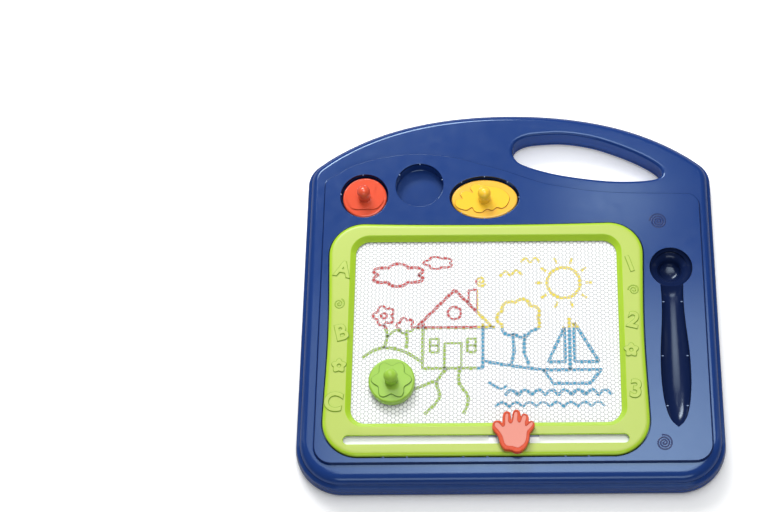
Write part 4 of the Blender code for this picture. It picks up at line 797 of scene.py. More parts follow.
# %% Shape of the pen well
def pen_stations(grow):
    """(y, half width, depth) along the pen well, from its round head to its tip."""
    head, depth = PEN_HEAD_RADIUS + grow, PEN_HEAD_DEPTH + grow
    neck = PEN_BELLY_SHARES[0][1] * PEN_BELLY
    neck_angle = math.asin(neck / PEN_HEAD_RADIUS)
    neck_y = PEN_HEAD_Y - PEN_HEAD_RADIUS * math.cos(neck_angle)
    stations = []
    for step in range(25):
        angle = 0.06 + (math.pi - neck_angle - 0.06) * step / 24
        half = head * math.sin(angle)
        stations.append((PEN_HEAD_Y + head * math.cos(angle), half, depth * half / head))
    for along, share in smooth_through(PEN_BELLY_SHARES, 4, closed=False)[2:]:
        half = PEN_BELLY * share
        y = neck_y + (PEN_TIP_Y - grow - neck_y) * along
        stations.append((y, half + grow, half * BELLY_DEPTH + grow))
    return stations


def pen_trough(name, grow, above):
    """Nearly half-round sections across the pen well, closed at a level above the panel."""
    turns = [math.pi * step / 20 for step in range(21)]
    sections = []
    for y, half, deep in pen_stations(grow):
        section = [(PEN_X + half, y, PANEL_LEVEL + above)]
        for a in turns:
            fall = deep * math.sin(a) ** 0.8
            section.append((PEN_X + half * math.cos(a), y, PANEL_LEVEL - 0.3 * MM - fall))
        sections.append(section + [(PEN_X - half, y, PANEL_LEVEL + above)])
    return skin(name, sections)


FUNNEL_SHARES = (
    (1.55, 2.0), (1.55, 6.9), (1.52, 7.2), (1.32, 8.2), (1.14, 9.8), (1.04, 11.4), (0.98, 13.2),
    (0.94, 15.0), (0.87, 16.7), (0.73, 17.6), (0.52, 18.1), (0.28, 18.4), (0.02, 18.5),
)  # fmt: skip
FUNNEL = [(share * BOWL_RADIUS, PANEL_LEVEL - depth * MM) for share, depth in FUNNEL_SHARES]


def grown_profile(profile, distance):
    """The same turned shape with a wall of that thickness round and under it."""
    rim = profile[0][0]
    return [(radius + distance, height - distance * (1 - radius / rim)) for radius, height in profile]


def in_pen_well(x, y, z):
    """True for a point in the pen well, which is painted navy as painted shade."""
    sunk = 5 * MM < z < PANEL_LEVEL - 0.2 * MM
    across = abs(x - PEN_X) < 18.4 * MM and x < RIGHT - 15 * MM
    return sunk and across and PEN_TIP_Y - MM < y < PEN_TOP + MM


print("pen well stations:", len(pen_stations(0)))

# %% [markdown]
# The outside is a stack of rings up the rim and the shoulder, with the raised panel added on top.
# The hollow is a second, smaller stack cut out from behind. A Solidify modifier could give the
# shell its wall as well, but it tangles at such small steps, and two stacks are easy to check.

# %% Front shell, outside and hollow
LIP = 0.5 * MM
HANDLE_ROUND = 3 * MM
PART_LEVEL = shell_low[2]
RIM_LEVEL, STEP_LEVEL = 15 * MM, 16.2 * MM
PARTING_INSET, RIM_INSET, STEP_INSET = 0.6 * MM, 2.4 * MM, 4.6 * MM
SHOULDER_WIDTH = 6.4 * MM
FOOT_RISE = 3.2 * MM
plan, panel_plan = board_outline(), panel_outline()


def shoulder(inset, level, height, steps):
    """Rings up the round shoulder, which draws in further along the foot."""
    rings = []
    for inward, rise in quarter(SHOULDER_WIDTH, height, steps):
        outline = board_outline(FOOT_RISE * inward / SHOULDER_WIDTH)
        rings.append(level_ring(outline, -inset - inward, level + rise))
    return rings


rim = quarter(PARTING_INSET - RIM_INSET, RIM_LEVEL - PART_LEVEL, 6, -PARTING_INSET, PART_LEVEL)
rings = [level_ring(plan, *step) for step in rim + [(LIP - STEP_INSET, STEP_LEVEL - 0.3 * MM)]]
front = skin("front_shell_body", rings + shoulder(STEP_INSET, STEP_LEVEL, LEDGE_LEVEL - STEP_LEVEL, 14))
step_up = [(1.8, 3 - WALL / MM), (1.8, 3), (1.45, 3.1), (1.15, 3.5)]
step_up += [(0.75, 5), (0.5, 5.6), (0.2, 5.92), (0, 6)]
step_up = [(growth * MM, LEDGE_LEVEL + (height - 3) * MM) for growth, height in step_up]
carve(front, [stack("panel", panel_plan, step_up)], "UNION")

inner_level = STEP_LEVEL - WALL / 2
rings = [
    level_ring(plan, -PARTING_INSET - WALL, PART_LEVEL - OVER),
    level_ring(plan, -RIM_INSET - WALL, RIM_LEVEL - WALL / 2),
]
rings += shoulder(STEP_INSET + WALL, inner_level, LEDGE_LEVEL - STEP_LEVEL - WALL / 2, 4)
under_panel = [(-WALL, LEDGE_LEVEL - 2 * WALL), (-WALL, PANEL_LEVEL - WALL)]
carve(front, [skin("hollow", rings), stack("under_panel", panel_plan, under_panel)], "DIFFERENCE")
print("front shell faces before its wells:", len(front.data.polygons))

# %% [markdown]
# Each well is made twice: first its outside is added, so that a wall hangs under the panel, and
# then its inside is cut. The grip hole and the bezel's recess are made the same way. A small
# rounded lip leads into the recess and the stamp wells, and a wider one into the grip hole.

# %% Front shell, wells and openings
bezel_plan, handle_plan = bezel_outline(), handle_outline()
GAP = 0.8 * MM
RECESS_FLOOR = bezel_low[2] - 0.3 * MM
skin_level = PANEL_LEVEL - WALL / 2
grip_growth = WALL - HANDLE_ROUND
added = [
    stack("recess", bezel_plan, [(GAP + WALL, RECESS_FLOOR - WALL), (GAP + WALL, skin_level)]),
    pen_trough("pen_wall", WELL_WALL, -0.6 * MM),
    lathe("funnel_wall", grown_profile(FUNNEL, WELL_WALL), BOWL_CENTRE),
    stack("grip_wall", handle_plan, [(grip_growth, PART_LEVEL), (grip_growth, LEDGE_LEVEL - 1.8 * MM)]),
]
for centre, length, width in WELLS:
    cup = ellipse(centre, length + WELL_WALL, width + WELL_WALL, 48)
    added.append(stack("cup", cup, [(0, WELL_FLOOR - WELL_WALL), (0, skin_level)]))
carve(front, added, "UNION")

OPENING_SIDE, OPENING_FOOT, OPENING_HEAD, OPENING_RADIUS = 6.3 * MM, 10.6 * MM, 2.8 * MM, 2.4 * MM
left, right = WINDOW[0] - OPENING_SIDE, WINDOW[1] + OPENING_SIDE
low, high = WINDOW[2] - OPENING_FOOT, WINDOW[3] + OPENING_HEAD
opening = rounded_polygon(rectangle(left, right, low, high, OPENING_RADIUS, OPENING_RADIUS), 4)
recess_mouth = quarter(LIP, LIP, 4, GAP, PANEL_LEVEL - LIP) + [(GAP + LIP, PANEL_LEVEL + OVER)]
cup_mouth = quarter(LIP, LIP, 4, 0, PANEL_LEVEL - LIP) + [(LIP, PANEL_LEVEL + OVER)]
flare = [(-HANDLE_ROUND, PART_LEVEL - OVER)]
flare += quarter(HANDLE_ROUND, HANDLE_ROUND, 8, -HANDLE_ROUND, LEDGE_LEVEL - HANDLE_ROUND)
cutters = [
    stack("recess_cut", bezel_plan, [(GAP, RECESS_FLOOR), (GAP, PANEL_LEVEL - LIP)] + recess_mouth),
    stack("opening_cut", opening, [(0, RECESS_FLOOR - 2 * WALL), (0, RECESS_FLOOR + WALL)]),
    pen_trough("pen_cut", 0, OVER),
    lathe("funnel_cut", FUNNEL, BOWL_CENTRE, 96),
]
for centre, length, width in WELLS:
    cup_steps = [(-LIP, WELL_FLOOR), (0, WELL_FLOOR + LIP)] + cup_mouth
    cutters.append(stack("cup_cut", ellipse(centre, length, width), cup_steps))
cutters.append(stack("grip_cut", handle_plan, flare + [(0, LEDGE_LEVEL + OVER)]))
carve(front, cutters, "DIFFERENCE")

# The pen well's faces get the navy painted shade.
coat(front, shell_blue, pen_well_shade_navy, second=in_pen_well)
soften(front)
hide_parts("front_shell")
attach(front, BOARD)
print("front shell faces:", len(front.data.polygons))

# %% [markdown]
# ## Back shell
#
# A shallow tray with the same plan. Only its low edge and the wall of the grip hole show from
# the front; from behind it is a flat back with screw holes.

# %% Back shell
BORE_RADIUS, SHANK_RADIUS, POST_RADIUS = 3.4 * MM, 1.6 * MM, 6 * MM
back_top = 8 * MM
PARTING_LEAN = [(0, 5 * MM), (-0.25 * MM, 6.6 * MM), (-0.6 * MM, back_top)]
outer = quarter(-2 * MM, -3 * MM, 8, 0, 3 * MM) + PARTING_LEAN
inner = quarter(-2 * MM, -3 * MM, 3, -WALL, WALL + 3 * MM) + [(-0.6 * MM - WALL, back_top + OVER)]
tray = stack("back_shell_body", plan, outer)
carve(tray, [stack("tray_hollow", plan, inner)], "DIFFERENCE")
grip = [(grip_growth, WALL / 2), (grip_growth, back_top)]
SCREW_PLACES = [middle(name) for name in sorted(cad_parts) if name.startswith("shell_screw")]
added = [stack("grip_tray", handle_plan, grip)]
for place in SCREW_PLACES:
    added.append(stack("post", ellipse(place, POST_RADIUS, POST_RADIUS, 32), [(0, WALL / 2), (0, 10 * MM)]))
carve(tray, added, "UNION")
BACK_ROUND = 5 * MM
flare = [(BACK_ROUND - HANDLE_ROUND, -OVER)]
flare += quarter(BACK_ROUND, -BACK_ROUND, 8, -HANDLE_ROUND, BACK_ROUND)
holes = [stack("grip_hole", handle_plan, flare + [(-HANDLE_ROUND, back_top + OVER)])]
for place in SCREW_PLACES:
    holes.append(stack("bore", ellipse(place, BORE_RADIUS, BORE_RADIUS, 32), [(0, -OVER), (0, 6 * MM)]))
    holes.append(stack("shank", ellipse(place, SHANK_RADIUS, SHANK_RADIUS, 24), [(0, WALL), (0, 12 * MM)]))
carve(tray, holes, "DIFFERENCE")
coat(tray, shell_blue)
soften(tray)
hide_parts("back_shell")
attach(tray, BOARD)
print("back shell faces:", len(tray.data.polygons), "screw holes:", len(SCREW_PLACES))

# %% [markdown]
# ## Bezel
#
# The lime frame is one closed ring: outer skirt, polished outer slope, frosted flat, polished
# inner slope down to the screen. Because every ring has as many points as the next, the whole
# section is swept in one go, and only the eraser's slot is cut afterwards.

# %% Bezel
UNDER = BEZEL_FACE - WALL
LIP_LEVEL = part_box("screen_front_film")[1][2] + 0.3 * MM
INNER_SLOPE = (
    (4.6, 0), (4.25, 0.012), (3.95, 0.05), (3.6, 0.12), (1.2, 0.72), (0.5, 0.88), (0.1, 0.97), (0, 1),
)  # fmt: skip
bezel_bottom = bezel_low[2]
window_plan = window_outline()
fall = BEZEL_FACE - LIP_LEVEL - 0.8 * MM
outside = [(0, bezel_bottom)] + quarter(-4.2 * MM, 2.4 * MM, 12, 0, BEZEL_FACE - 2.4 * MM)
inside = [(growth * MM, BEZEL_FACE - fall * drop) for growth, drop in INNER_SLOPE]
inside += [(0, LIP_LEVEL), (5.7 * MM, LIP_LEVEL), (6 * MM, UNDER)]
rings = [level_ring(bezel_plan, *step) for step in outside]
rings += [level_ring(window_plan, *step) for step in inside]
rings += [level_ring(bezel_plan, -WALL, height) for height in (UNDER, bezel_bottom)]
bezel = skin("bezel_ring", rings, closed=True)

SLOT_HALF, SLOT_ROUND = 115.7 * MM, 3.75 * MM
SLOT_Y = WINDOW[2] - 15.1 * MM
slot_plan = arc((BEZEL_X + SLOT_HALF - SLOT_ROUND, SLOT_Y), SLOT_ROUND, -90, 90, 24)
slot_plan += arc((BEZEL_X - SLOT_HALF + SLOT_ROUND, SLOT_Y), SLOT_ROUND, 90, 270, 24)
slot_steps = [(0, UNDER - MM), (0, BEZEL_FACE - LIP)]
slot_steps += quarter(LIP, LIP, 4, 0, BEZEL_FACE - LIP) + [(LIP, BEZEL_FACE + OVER)]
carve(bezel, [stack("slot", slot_plan, slot_steps)], "DIFFERENCE")
coat(bezel, bezel_lime)
soften(bezel, 40)
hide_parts("screen_bezel")
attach(bezel, BOARD)
print("bezel faces:", len(bezel.data.polygons))

# %% [markdown]
# ## Repeating with Geometry Nodes
#
# The cells of the screen and the little catches round the wells are each one small shape set down
# many times. One node tree does that: it takes the points of the object that it is on, drops
# those outside a rounded rectangle, and sets the template down on the rest. The pen strokes below
# get a tree of their own, so the helper that starts a tree comes first.


# %% Node tree helper
def new_tree(name, sockets):
    """An empty tree with named inputs, its `node` helper and its input sockets by name."""
    made = bpy.data.node_groups.new(name, "GeometryNodeTree")
    for label, kind in sockets.items():
        made.interface.new_socket(label, in_out="INPUT", socket_type=f"NodeSocket{kind}")
    made.interface.new_socket("Geometry", in_out="OUTPUT", socket_type="NodeSocketGeometry")

    def node(kind, values=None, output=0, **settings):
        """A node fed by numbers or by other nodes' outputs; returns one of its outputs."""
        new = made.nodes.new(kind)
        for key, value in settings.items():
            setattr(new, key, value)
        for key, value in (values or {}).items():
            if isinstance(value, bpy.types.NodeSocket):
                made.links.new(value, new.inputs[key])
            else:
                new.inputs[key].default_value = value
        return new.outputs[output] if new.outputs else None

    given = made.nodes.new("NodeGroupInput")
    return made, node, {label: given.outputs[label] for label in sockets}


def set_inputs(modifier, tree, values):
    """Fills a modifier's inputs by the sockets' own identifiers."""
    modifier.node_group = tree
    for item in tree.interface.items_tree:
        if item.in_out == "INPUT" and item.name in values:
            modifier[item.identifier] = values[item.name]


print("node tree helper ready")


# %% Node tree for repeats
def build_repeat_tree():
    """Points in, copies of a template out, kept inside a rounded rectangle."""
    sockets = {"Geometry": "Geometry", "Template": "Object", "Finish": "Material"}
    sockets |= {"Centre": "Vector", "Half size": "Vector", "Corner": "Float"}
    made, node, given = new_tree("set_down_copies", sockets)

    def vector(operation, *values, output=0):
        return node("ShaderNodeVectorMath", dict(enumerate(values)), output, operation=operation)

    sideways = vector("ABSOLUTE", vector("SUBTRACT", node("GeometryNodeInputPosition"), given["Centre"]))
    straight = vector("SUBTRACT", given["Half size"], given["Corner"])
    past = vector("MAXIMUM", vector("SUBTRACT", sideways, straight), (0, 0, 0))
    reach = vector("LENGTH", vector("MULTIPLY", past, (1, 1, 0)), output="Value")
    limits = {0: reach, 1: given["Corner"]}
    outside = node("FunctionNodeCompare", limits, data_type="FLOAT", operation="GREATER_THAN")
    dropped = {"Geometry": given["Geometry"], "Selection": outside}
    points = node("GeometryNodeDeleteGeometry", dropped, domain="POINT")
    source = {"Object": given["Template"]}
    shape = node("GeometryNodeObjectInfo", source, "Geometry", transform_space="ORIGINAL")
    turned = node("GeometryNodeInputNamedAttribute", {"Name": "turn"}, "Attribute", data_type="FLOAT")
    turn = node("ShaderNodeCombineXYZ", {"Z": turned})
    copies = node("GeometryNodeInstanceOnPoints", {"Points": points, "Instance": shape, "Rotation": turn})
    real = node("GeometryNodeRealizeInstances", {0: copies})
    dressed = node("GeometryNodeSetMaterial", {"Geometry": real, "Material": given["Finish"]})
    node("NodeGroupOutput", {0: dressed})
    return made


REPEAT_TREE = build_repeat_tree()
print("repeat tree nodes:", len(REPEAT_TREE.nodes))


# %% Copies on points
def repeat(name, template, places, finish, turns=None, middle=(0, 0, 0), half=(1, 1, 1), corner=0.1):
    """One piece made of copies of the template, which is used up."""
    mesh = bpy.data.meshes.new(name)
    mesh.from_pydata(places, [], [])
    angles = mesh.attributes.new("turn", "FLOAT", "POINT")
    angles.data.foreach_set("value", turns or [0.0] * len(places))
    piece = new_piece(name, mesh)
    values = {"Template": template, "Finish": finish.material, "Centre": middle, "Half size": half}
    set_inputs(piece.modifiers.new("copies", "NODES"), REPEAT_TREE, values | {"Corner": corner})
    bake(piece)
    bpy.data.objects.remove(template)
    return piece


print("repeat helper ready")

# %% [markdown]
# ## Screen
#
# The screen is a sheet of small cells between two films, filled with a milky fluid that holds
# iron dust. The cells are made as a white floor with thin walls standing on it: each wall ring
# is hexagonal outside, so that it meets its six neighbours, and twelve-sided inside, which looks
# round at this size. The rings have no outer faces, because no one can see between them.

# %% Cell floor
CELL_PITCH = 3.65 * MM
COLUMN_PITCH = CELL_PITCH * math.cos(math.radians(30))
cell_low, cell_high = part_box("screen_honeycomb")
FLUID_LEVEL = cell_high[2] - 0.14 * MM

cell_white = Finish("cell_white", Roughness=0.42, Specular_IOR_Level=0.35)
milk = cell_white.noise(1.2 * MM, 3.0)
cell_white.paint(Base_Color=cell_white.mix(milk, (0.95, 0.95, 0.95), (0.99, 0.99, 0.985)))
cell_white.bump(milk, 0.02 * MM, 0.3)

sheet_plan = grown(window_plan, 6 * MM)
floor_sheet = stack("cell_floor", sheet_plan, [(0, cell_low[2]), (0, FLUID_LEVEL)])
coat(floor_sheet, cell_white)
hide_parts("screen_honeycomb")
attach(floor_sheet, BOARD)
print("cell floor points:", len(sheet_plan))

# %% Cell walls
# Painted shade: the cell walls are low and painted grey for the shade in the cells' depth, in uneven
# patches.
cell_wall_shade_grey = Finish("cell_wall_shade_grey", Specular_IOR_Level=0.3)
uneven_shade_and_gloss = cell_wall_shade_grey.noise(2.5 * MM, 3.0)
cell_wall_shade_grey.paint(
    Base_Color=cell_wall_shade_grey.mix(uneven_shade_and_gloss, (0.40, 0.40, 0.41), (0.52, 0.52, 0.53)),
    Roughness=uneven_shade_and_gloss * 0.2 + 0.4,
)

ROUND_SIDES = 12
cell_bore = CELL_PITCH / 2 - 0.20 * MM
verts = [(*around((0, 0), k * math.pi / 3, CELL_PITCH / math.sqrt(3)), 0) for k in range(6)]
for height in (0, FLUID_LEVEL - cell_high[2]):
    verts += [(x, y, height) for x, y in ellipse((0, 0), cell_bore, cell_bore, ROUND_SIDES)]
faces = []
for k in range(ROUND_SIDES):
    top, next_top = 6 + k, 6 + (k + 1) % ROUND_SIDES
    faces.append((top, next_top, next_top + ROUND_SIDES, top + ROUND_SIDES))
    corners = (k // 2,) if k % 2 == 0 else (k // 2, (k // 2 + 1) % 6)
    faces.append((*corners, next_top, top))
ring_mesh = bpy.data.meshes.new("cell_ring")
ring_mesh.from_pydata(verts, [], faces)
ring = new_piece("cell_ring", ring_mesh)

window_middle = ((WINDOW[0] + WINDOW[1]) / 2, (WINDOW[2] + WINDOW[3]) / 2, 0)
columns = round(WINDOW[1] / COLUMN_PITCH - WINDOW[0] / COLUMN_PITCH) + 5
rows = round(WINDOW[3] / CELL_PITCH - WINDOW[2] / CELL_PITCH) + 4
centres = []
for column in range(columns):
    for row in range(rows):
        x = window_middle[0] + (column - (columns - 1) / 2) * COLUMN_PITCH
        y = window_middle[1] + (row - (rows - 1) / 2 + (column % 2 - 0.5) / 2) * CELL_PITCH
        centres.append((x, y, cell_high[2]))
half_window = ((WINDOW[1] - WINDOW[0]) / 2 + 5 * MM, (WINDOW[3] - WINDOW[2]) / 2 + 5 * MM, 1)
walls = repeat("cell_walls", ring, centres, cell_wall_shade_grey, None, window_middle, half_window, 15 * MM)
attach(walls, BOARD)
print("cells:", len(centres), "wall faces:", len(walls.data.polygons))

# %% [markdown]
# ## Drawing
#
# A pen line on such a board is iron dust pulled up against the front film: grainy, a little
# uneven, and broken where the cell walls stand. The dust under each quarter of this screen has
# its own colour, so one line changes colour as it crosses the middle. The drawing here is a plain
# landscape, laid out in millimetres from the window's lower left corner.

# %% Lines of the drawing
ZONE_X, ZONE_Y = 103, 83
WIDE, THIN = 2.9, 2.2
SUN = (176, 124)


def puffs(centre, half_length, half_width, count, swell=0.16):
    """A cloud-like closed outline."""
    points = []
    for k in range(count * 6):
        a = math.tau * k / (count * 6)
        reach = 1 + swell * abs(math.sin(count * a / 2)) * 2 - swell
        points.append(around(centre, a, half_length * reach, half_width * reach))
    return points + [points[0]]


def wave_line(start, end, y, count, height):
    """Scallops in a row."""
    points = []
    for k in range(count * 8 + 1):
        points.append((start + (end - start) * k / (count * 8), y + height * abs(math.sin(math.pi * k / 8))))
    return points


def swirl(centre, radius, turns, start=0.0):
    """A flat spiral from its middle outwards."""
    steps = int(turns * 16)
    points = []
    for k in range(steps + 1):
        a = start + math.tau * turns * k / steps
        points.append(around(centre, a, radius * (k + 2) / (steps + 2)))
    return points


def bend(*points):
    """A smooth open line."""
    return smooth_through(points, 6, closed=False)


print("a cloud's points:", len(puffs((0, 0), 20, 9, 6)))

# %% The landscape
LINES = [
    (WIDE, [(52, 84), (84, 118), (116, 84)]),
    (WIDE, [(58, 88), (58, 48), (108, 48), (108, 88)]),
    (WIDE, [(50, 84), (118, 84)]),
    (THIN, [(76, 48), (76, 70), (90, 70), (90, 48)]),
    (THIN, [(64, 62), (64, 74), (71, 74), (71, 62), (64, 62)]),
    (THIN, [(95, 62), (95, 74), (102, 74), (102, 62), (95, 62)]),
    (THIN, [(64, 68), (71, 68)]),
    (THIN, [(95, 68), (102, 68)]),
    (THIN, [(96, 106), (96, 118), (103, 118), (103, 99)]),
    (THIN, puffs((84, 97), 5.5, 5.5, 5, 0.05)),
    (WIDE, puffs((36, 132), 20, 9, 6)),
    (THIN, puffs((70, 143), 11, 5, 5)),
    (WIDE, [around(SUN, math.tau * k / 32, 14) for k in range(33)]),
    (WIDE, puffs((138, 92), 17, 16, 7, 0.10)),
    (WIDE, [(133, 78), (134, 62), (131, 50)]),
    (WIDE, [(143, 78), (142, 62), (146, 50)]),
    (WIDE, [(158, 46), (166, 34), (196, 34), (206, 46), (158, 46)]),
    (WIDE, [(180, 46), (180, 92)]),
    (WIDE, [(184, 88), (184, 53), (204, 53), (184, 88)]),
    (WIDE, [(176, 84), (176, 53), (162, 53), (176, 84)]),
    (WIDE, wave_line(126, 214, 24, 8, 4.5)),
    (THIN, wave_line(118, 208, 14, 8, 4)),
    (THIN, swirl((106, 126), 5, 1.6, 2.0)),
    (WIDE, bend((78, 48), (70, 36), (72, 22), (60, 8))),
    (WIDE, bend((89, 48), (88, 36), (96, 22), (92, 8))),
    (WIDE, bend((8, 58), (22, 66), (40, 64), (57, 54))),
    (WIDE, bend((109, 54), (130, 50), (158, 46))),
    (WIDE, bend((52, 30), (66, 36), (71, 36))),
    (THIN, bend((122, 130), (127, 135), (131, 131), (136, 136), (141, 131))),
    (THIN, bend((140, 143), (144, 147), (148, 143), (152, 147), (156, 143))),
    (WIDE, bend((26, 66), (28, 78), (25, 88))),
    (THIN, puffs((25, 95), 7.5, 7.5, 5, 0.22)),
    (THIN, puffs((25, 95), 2.4, 2.4, 5, 0.0)),
    (THIN, bend((28, 76), (35, 82), (40, 80))),
    (WIDE, bend((44, 66), (45, 74), (43, 80))),
    (THIN, puffs((43, 86), 6, 6, 5, 0.22)),
    (THIN, bend((112, 36), (122, 30), (128, 33))),
]
for step in range(10):
    LINES.append((THIN, [around(SUN, math.tau * step / 10, r) for r in (18, 21, 24)]))
print("lines:", len(LINES))


# %% Node tree for pen strokes
def build_stroke_tree():
    """Edges in, uneven ribbons out: evenly spaced points, a random width and a flat profile."""
    sockets = {"Geometry": "Geometry", "Spacing": "Float", "Unevenness": "Float", "Finish": "Material"}
    made, node, given = new_tree("pen_stroke", sockets)
    curve = node("GeometryNodeMeshToCurve", {"Mesh": given["Geometry"]})
    spaced = node("GeometryNodeResampleCurve", {"Curve": curve, "Length": given["Spacing"]}, mode="LENGTH")
    upright = node("GeometryNodeSetCurveNormal", {"Curve": spaced}, mode="Z_UP")
    width = node("GeometryNodeInputNamedAttribute", {"Name": "width"}, "Attribute", data_type="FLOAT")
    less = node("ShaderNodeMath", {0: 1.0, 1: given["Unevenness"]}, operation="SUBTRACT")
    more = node("ShaderNodeMath", {0: 1.0, 1: given["Unevenness"]}, operation="ADD")
    wobble = node("FunctionNodeRandomValue", {2: less, 3: more, "Seed": 7}, 1, data_type="FLOAT")
    size = node("ShaderNodeMath", {0: width, 1: wobble}, operation="MULTIPLY")
    profile = node("GeometryNodeCurvePrimitiveLine", {"Start": (-0.5, 0, 0), "End": (0.5, 0, 0)})
    swept = node("GeometryNodeCurveToMesh", {"Curve": upright, "Profile Curve": profile, "Scale": size})
    dressed = node("GeometryNodeSetMaterial", {"Geometry": swept, "Material": given["Finish"]})
    node("NodeGroupOutput", {0: dressed})
    return made


STROKE_TREE = build_stroke_tree()
print("stroke tree nodes:", len(STROKE_TREE.nodes))

# %% [markdown]
# The dust's hue is chosen by which quarter of the window a point is in. Its grains are a fine
# noise that cuts the strokes' Alpha, so the white cell floor shows between them.

# %% Dust colours
DUST = {
    "upper left": (0.470, 0.004, 0.002),
    "upper right": (0.740, 0.600, 0.000),
    "lower left": (0.260, 0.430, 0.003),
    "lower right": (0.000, 0.260, 0.450),
}
dust = Finish("coloured_dust", Specular_IOR_Level=0.1)
right_half = dust.axis("X").above(WINDOW[0] + ZONE_X * MM, 2500)
upper_half = dust.axis("Y").above(WINDOW[2] + ZONE_Y * MM, 2500)
low_hue = dust.mix(right_half, DUST["lower left"], DUST["lower right"])
high_hue = dust.mix(right_half, DUST["upper left"], DUST["upper right"])
hue = dust.mix(upper_half, low_hue, high_hue)
grain = dust.noise(0.55 * MM, 3.0)
dust.paint(
    Base_Color=dust.mix(dust.noise(0.9 * MM) * 0.05, hue, (0.95, 0.95, 0.95)),
    Alpha=grain.above(0.32, 14),
    Roughness=grain * 0.3 + 0.5,
)
print("dust colours:", sorted(DUST))

# %% The drawing
verts, edges, widths = [], [], []
for width, line in LINES:
    first = len(verts)
    verts += [(WINDOW[0] + x * MM, WINDOW[2] + y * MM, FLUID_LEVEL + 0.06 * MM) for x, y in line]
    widths += [width * MM] * len(line)
    edges += [(first + k, first + k + 1) for k in range(len(line) - 1)]
mesh = bpy.data.meshes.new("drawing")
mesh.from_pydata(verts, edges, [])
mesh.attributes.new("width", "FLOAT", "POINT").data.foreach_set("value", widths)
drawing = new_piece("drawing", mesh)
stroke_values = {"Spacing": 0.9 * MM, "Unevenness": 0.22, "Finish": dust.material}
set_inputs(drawing.modifiers.new("strokes", "NODES"), STROKE_TREE, stroke_values)
bake(drawing)
if sum(face.normal.z * face.area for face in drawing.data.polygons) < 0:
    drawing.data.flip_normals()
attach(drawing, BOARD)
print("drawing faces:", len(drawing.data.polygons))

# %% [markdown]
# ## Nodes that keep their own shape
#
# The films, their clamp frame, the eraser's track and bar, the magnets, the screws and the stamps'
# bases are right as the packed model has them, so each only gets its finish. The front film is
# almost invisible: it lays a faint veil and a soft shine over the screen.

# %% Films, magnets and screws
film_clear = Finish("film_clear", Roughness=0.12, Alpha=0.025, Base_Color=(0.96, 0.97, 0.98))
film_clear.bump(film_clear.noise(40 * MM), 0.05 * MM, 0.2)
NODE_FINISHES = {
    "screen_front_film": film_clear,
    "screen_back_film": track_white,
    "screen_clamp_frame": track_white,
    "eraser_track": track_white,
    "eraser_magnet": magnet_dark,
    "eraser_bar": shoe_grey,
}
for colour, finish in (("red", stamp_red), ("yellow", stamp_amber), ("green", stamp_green)):
    NODE_FINISHES[f"{colour}_stamp_magnet"] = magnet_dark
    NODE_FINISHES[f"{colour}_stamp_base"] = finish
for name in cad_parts:
    if "screw" in name:
        NODE_FINISHES[name] = screw_steel
for name, finish in NODE_FINISHES.items():
    coat(bpy.data.objects[name], finish)
print("plain nodes dressed:", len(NODE_FINISHES))

# %% [markdown]
# ## Eraser
#
# Pushing the hand along the slot wipes the drawing: it drags a magnet behind the cells, which
# pulls the dust down again. The hand is a red shell with a salmon plate let into it. The shoe
# under the bezel is white like its track, with a grey stem and grey near the hand; its upper
# edge is painted grey as painted shade under the slot's upper wall.

# %% Outlines of hand and palm
HAND_SHARES = (
    (-0.99, 0.20), (-0.97, 0.34), (-0.90, 0.44), (-0.77, 0.49), (-0.63, 0.47), (-0.54, 0.39),
    (-0.52, 0.57), (-0.50, 0.74), (-0.43, 0.87), (-0.31, 0.91), (-0.19, 0.87), (-0.14, 0.75),
    (-0.12, 0.52), (-0.08, 0.63), (-0.05, 0.82), (0.01, 0.94), (0.11, 0.985), (0.24, 0.94),
    (0.30, 0.83), (0.335, 0.68), (0.39, 0.77), (0.49, 0.80), (0.62, 0.74), (0.69, 0.62), (0.69, 0.44),
    (0.81, 0.47), (0.92, 0.39), (0.96, 0.28), (0.91, 0.12), (0.80, -0.02), (0.73, -0.13),
    (0.71, -0.34), (0.66, -0.52), (0.57, -0.71), (0.43, -0.87), (0.27, -0.97), (0.13, -0.985),
    (0.00, -0.96), (-0.12, -0.90), (-0.25, -0.88), (-0.41, -0.86), (-0.52, -0.76), (-0.61, -0.63),
    (-0.66, -0.49), (-0.71, -0.29), (-0.77, -0.17), (-0.88, -0.03), (-0.97, 0.08),
)  # fmt: skip
PALM_SHARES = (
    (-0.88, 0.28), (-0.86, 0.36), (-0.79, 0.40), (-0.70, 0.38), (-0.61, 0.29), (-0.51, 0.19),
    (-0.42, 0.26), (-0.40, 0.40), (-0.40, 0.64), (-0.37, 0.77), (-0.31, 0.81), (-0.25, 0.76),
    (-0.25, 0.57), (-0.24, 0.42), (-0.15, 0.34), (-0.06, 0.41), (-0.02, 0.59), (0.01, 0.77),
    (0.06, 0.86), (0.13, 0.88), (0.18, 0.80), (0.17, 0.63), (0.17, 0.47), (0.24, 0.38), (0.32, 0.44),
    (0.37, 0.61), (0.43, 0.70), (0.51, 0.72), (0.57, 0.66), (0.56, 0.54), (0.51, 0.37), (0.54, 0.22),
    (0.62, 0.25), (0.72, 0.35), (0.81, 0.40), (0.87, 0.37), (0.87, 0.29), (0.78, 0.16), (0.67, 0.05),
    (0.60, -0.06), (0.58, -0.25), (0.55, -0.41), (0.48, -0.57), (0.36, -0.68), (0.25, -0.76),
    (0.14, -0.78), (0.02, -0.74), (-0.09, -0.71), (-0.23, -0.70), (-0.34, -0.67), (-0.43, -0.56),
    (-0.47, -0.43), (-0.52, -0.26), (-0.61, -0.10), (-0.73, 0.06), (-0.84, 0.18),
)  # fmt: skip
print("points of hand and palm:", len(HAND_SHARES), len(PALM_SHARES))

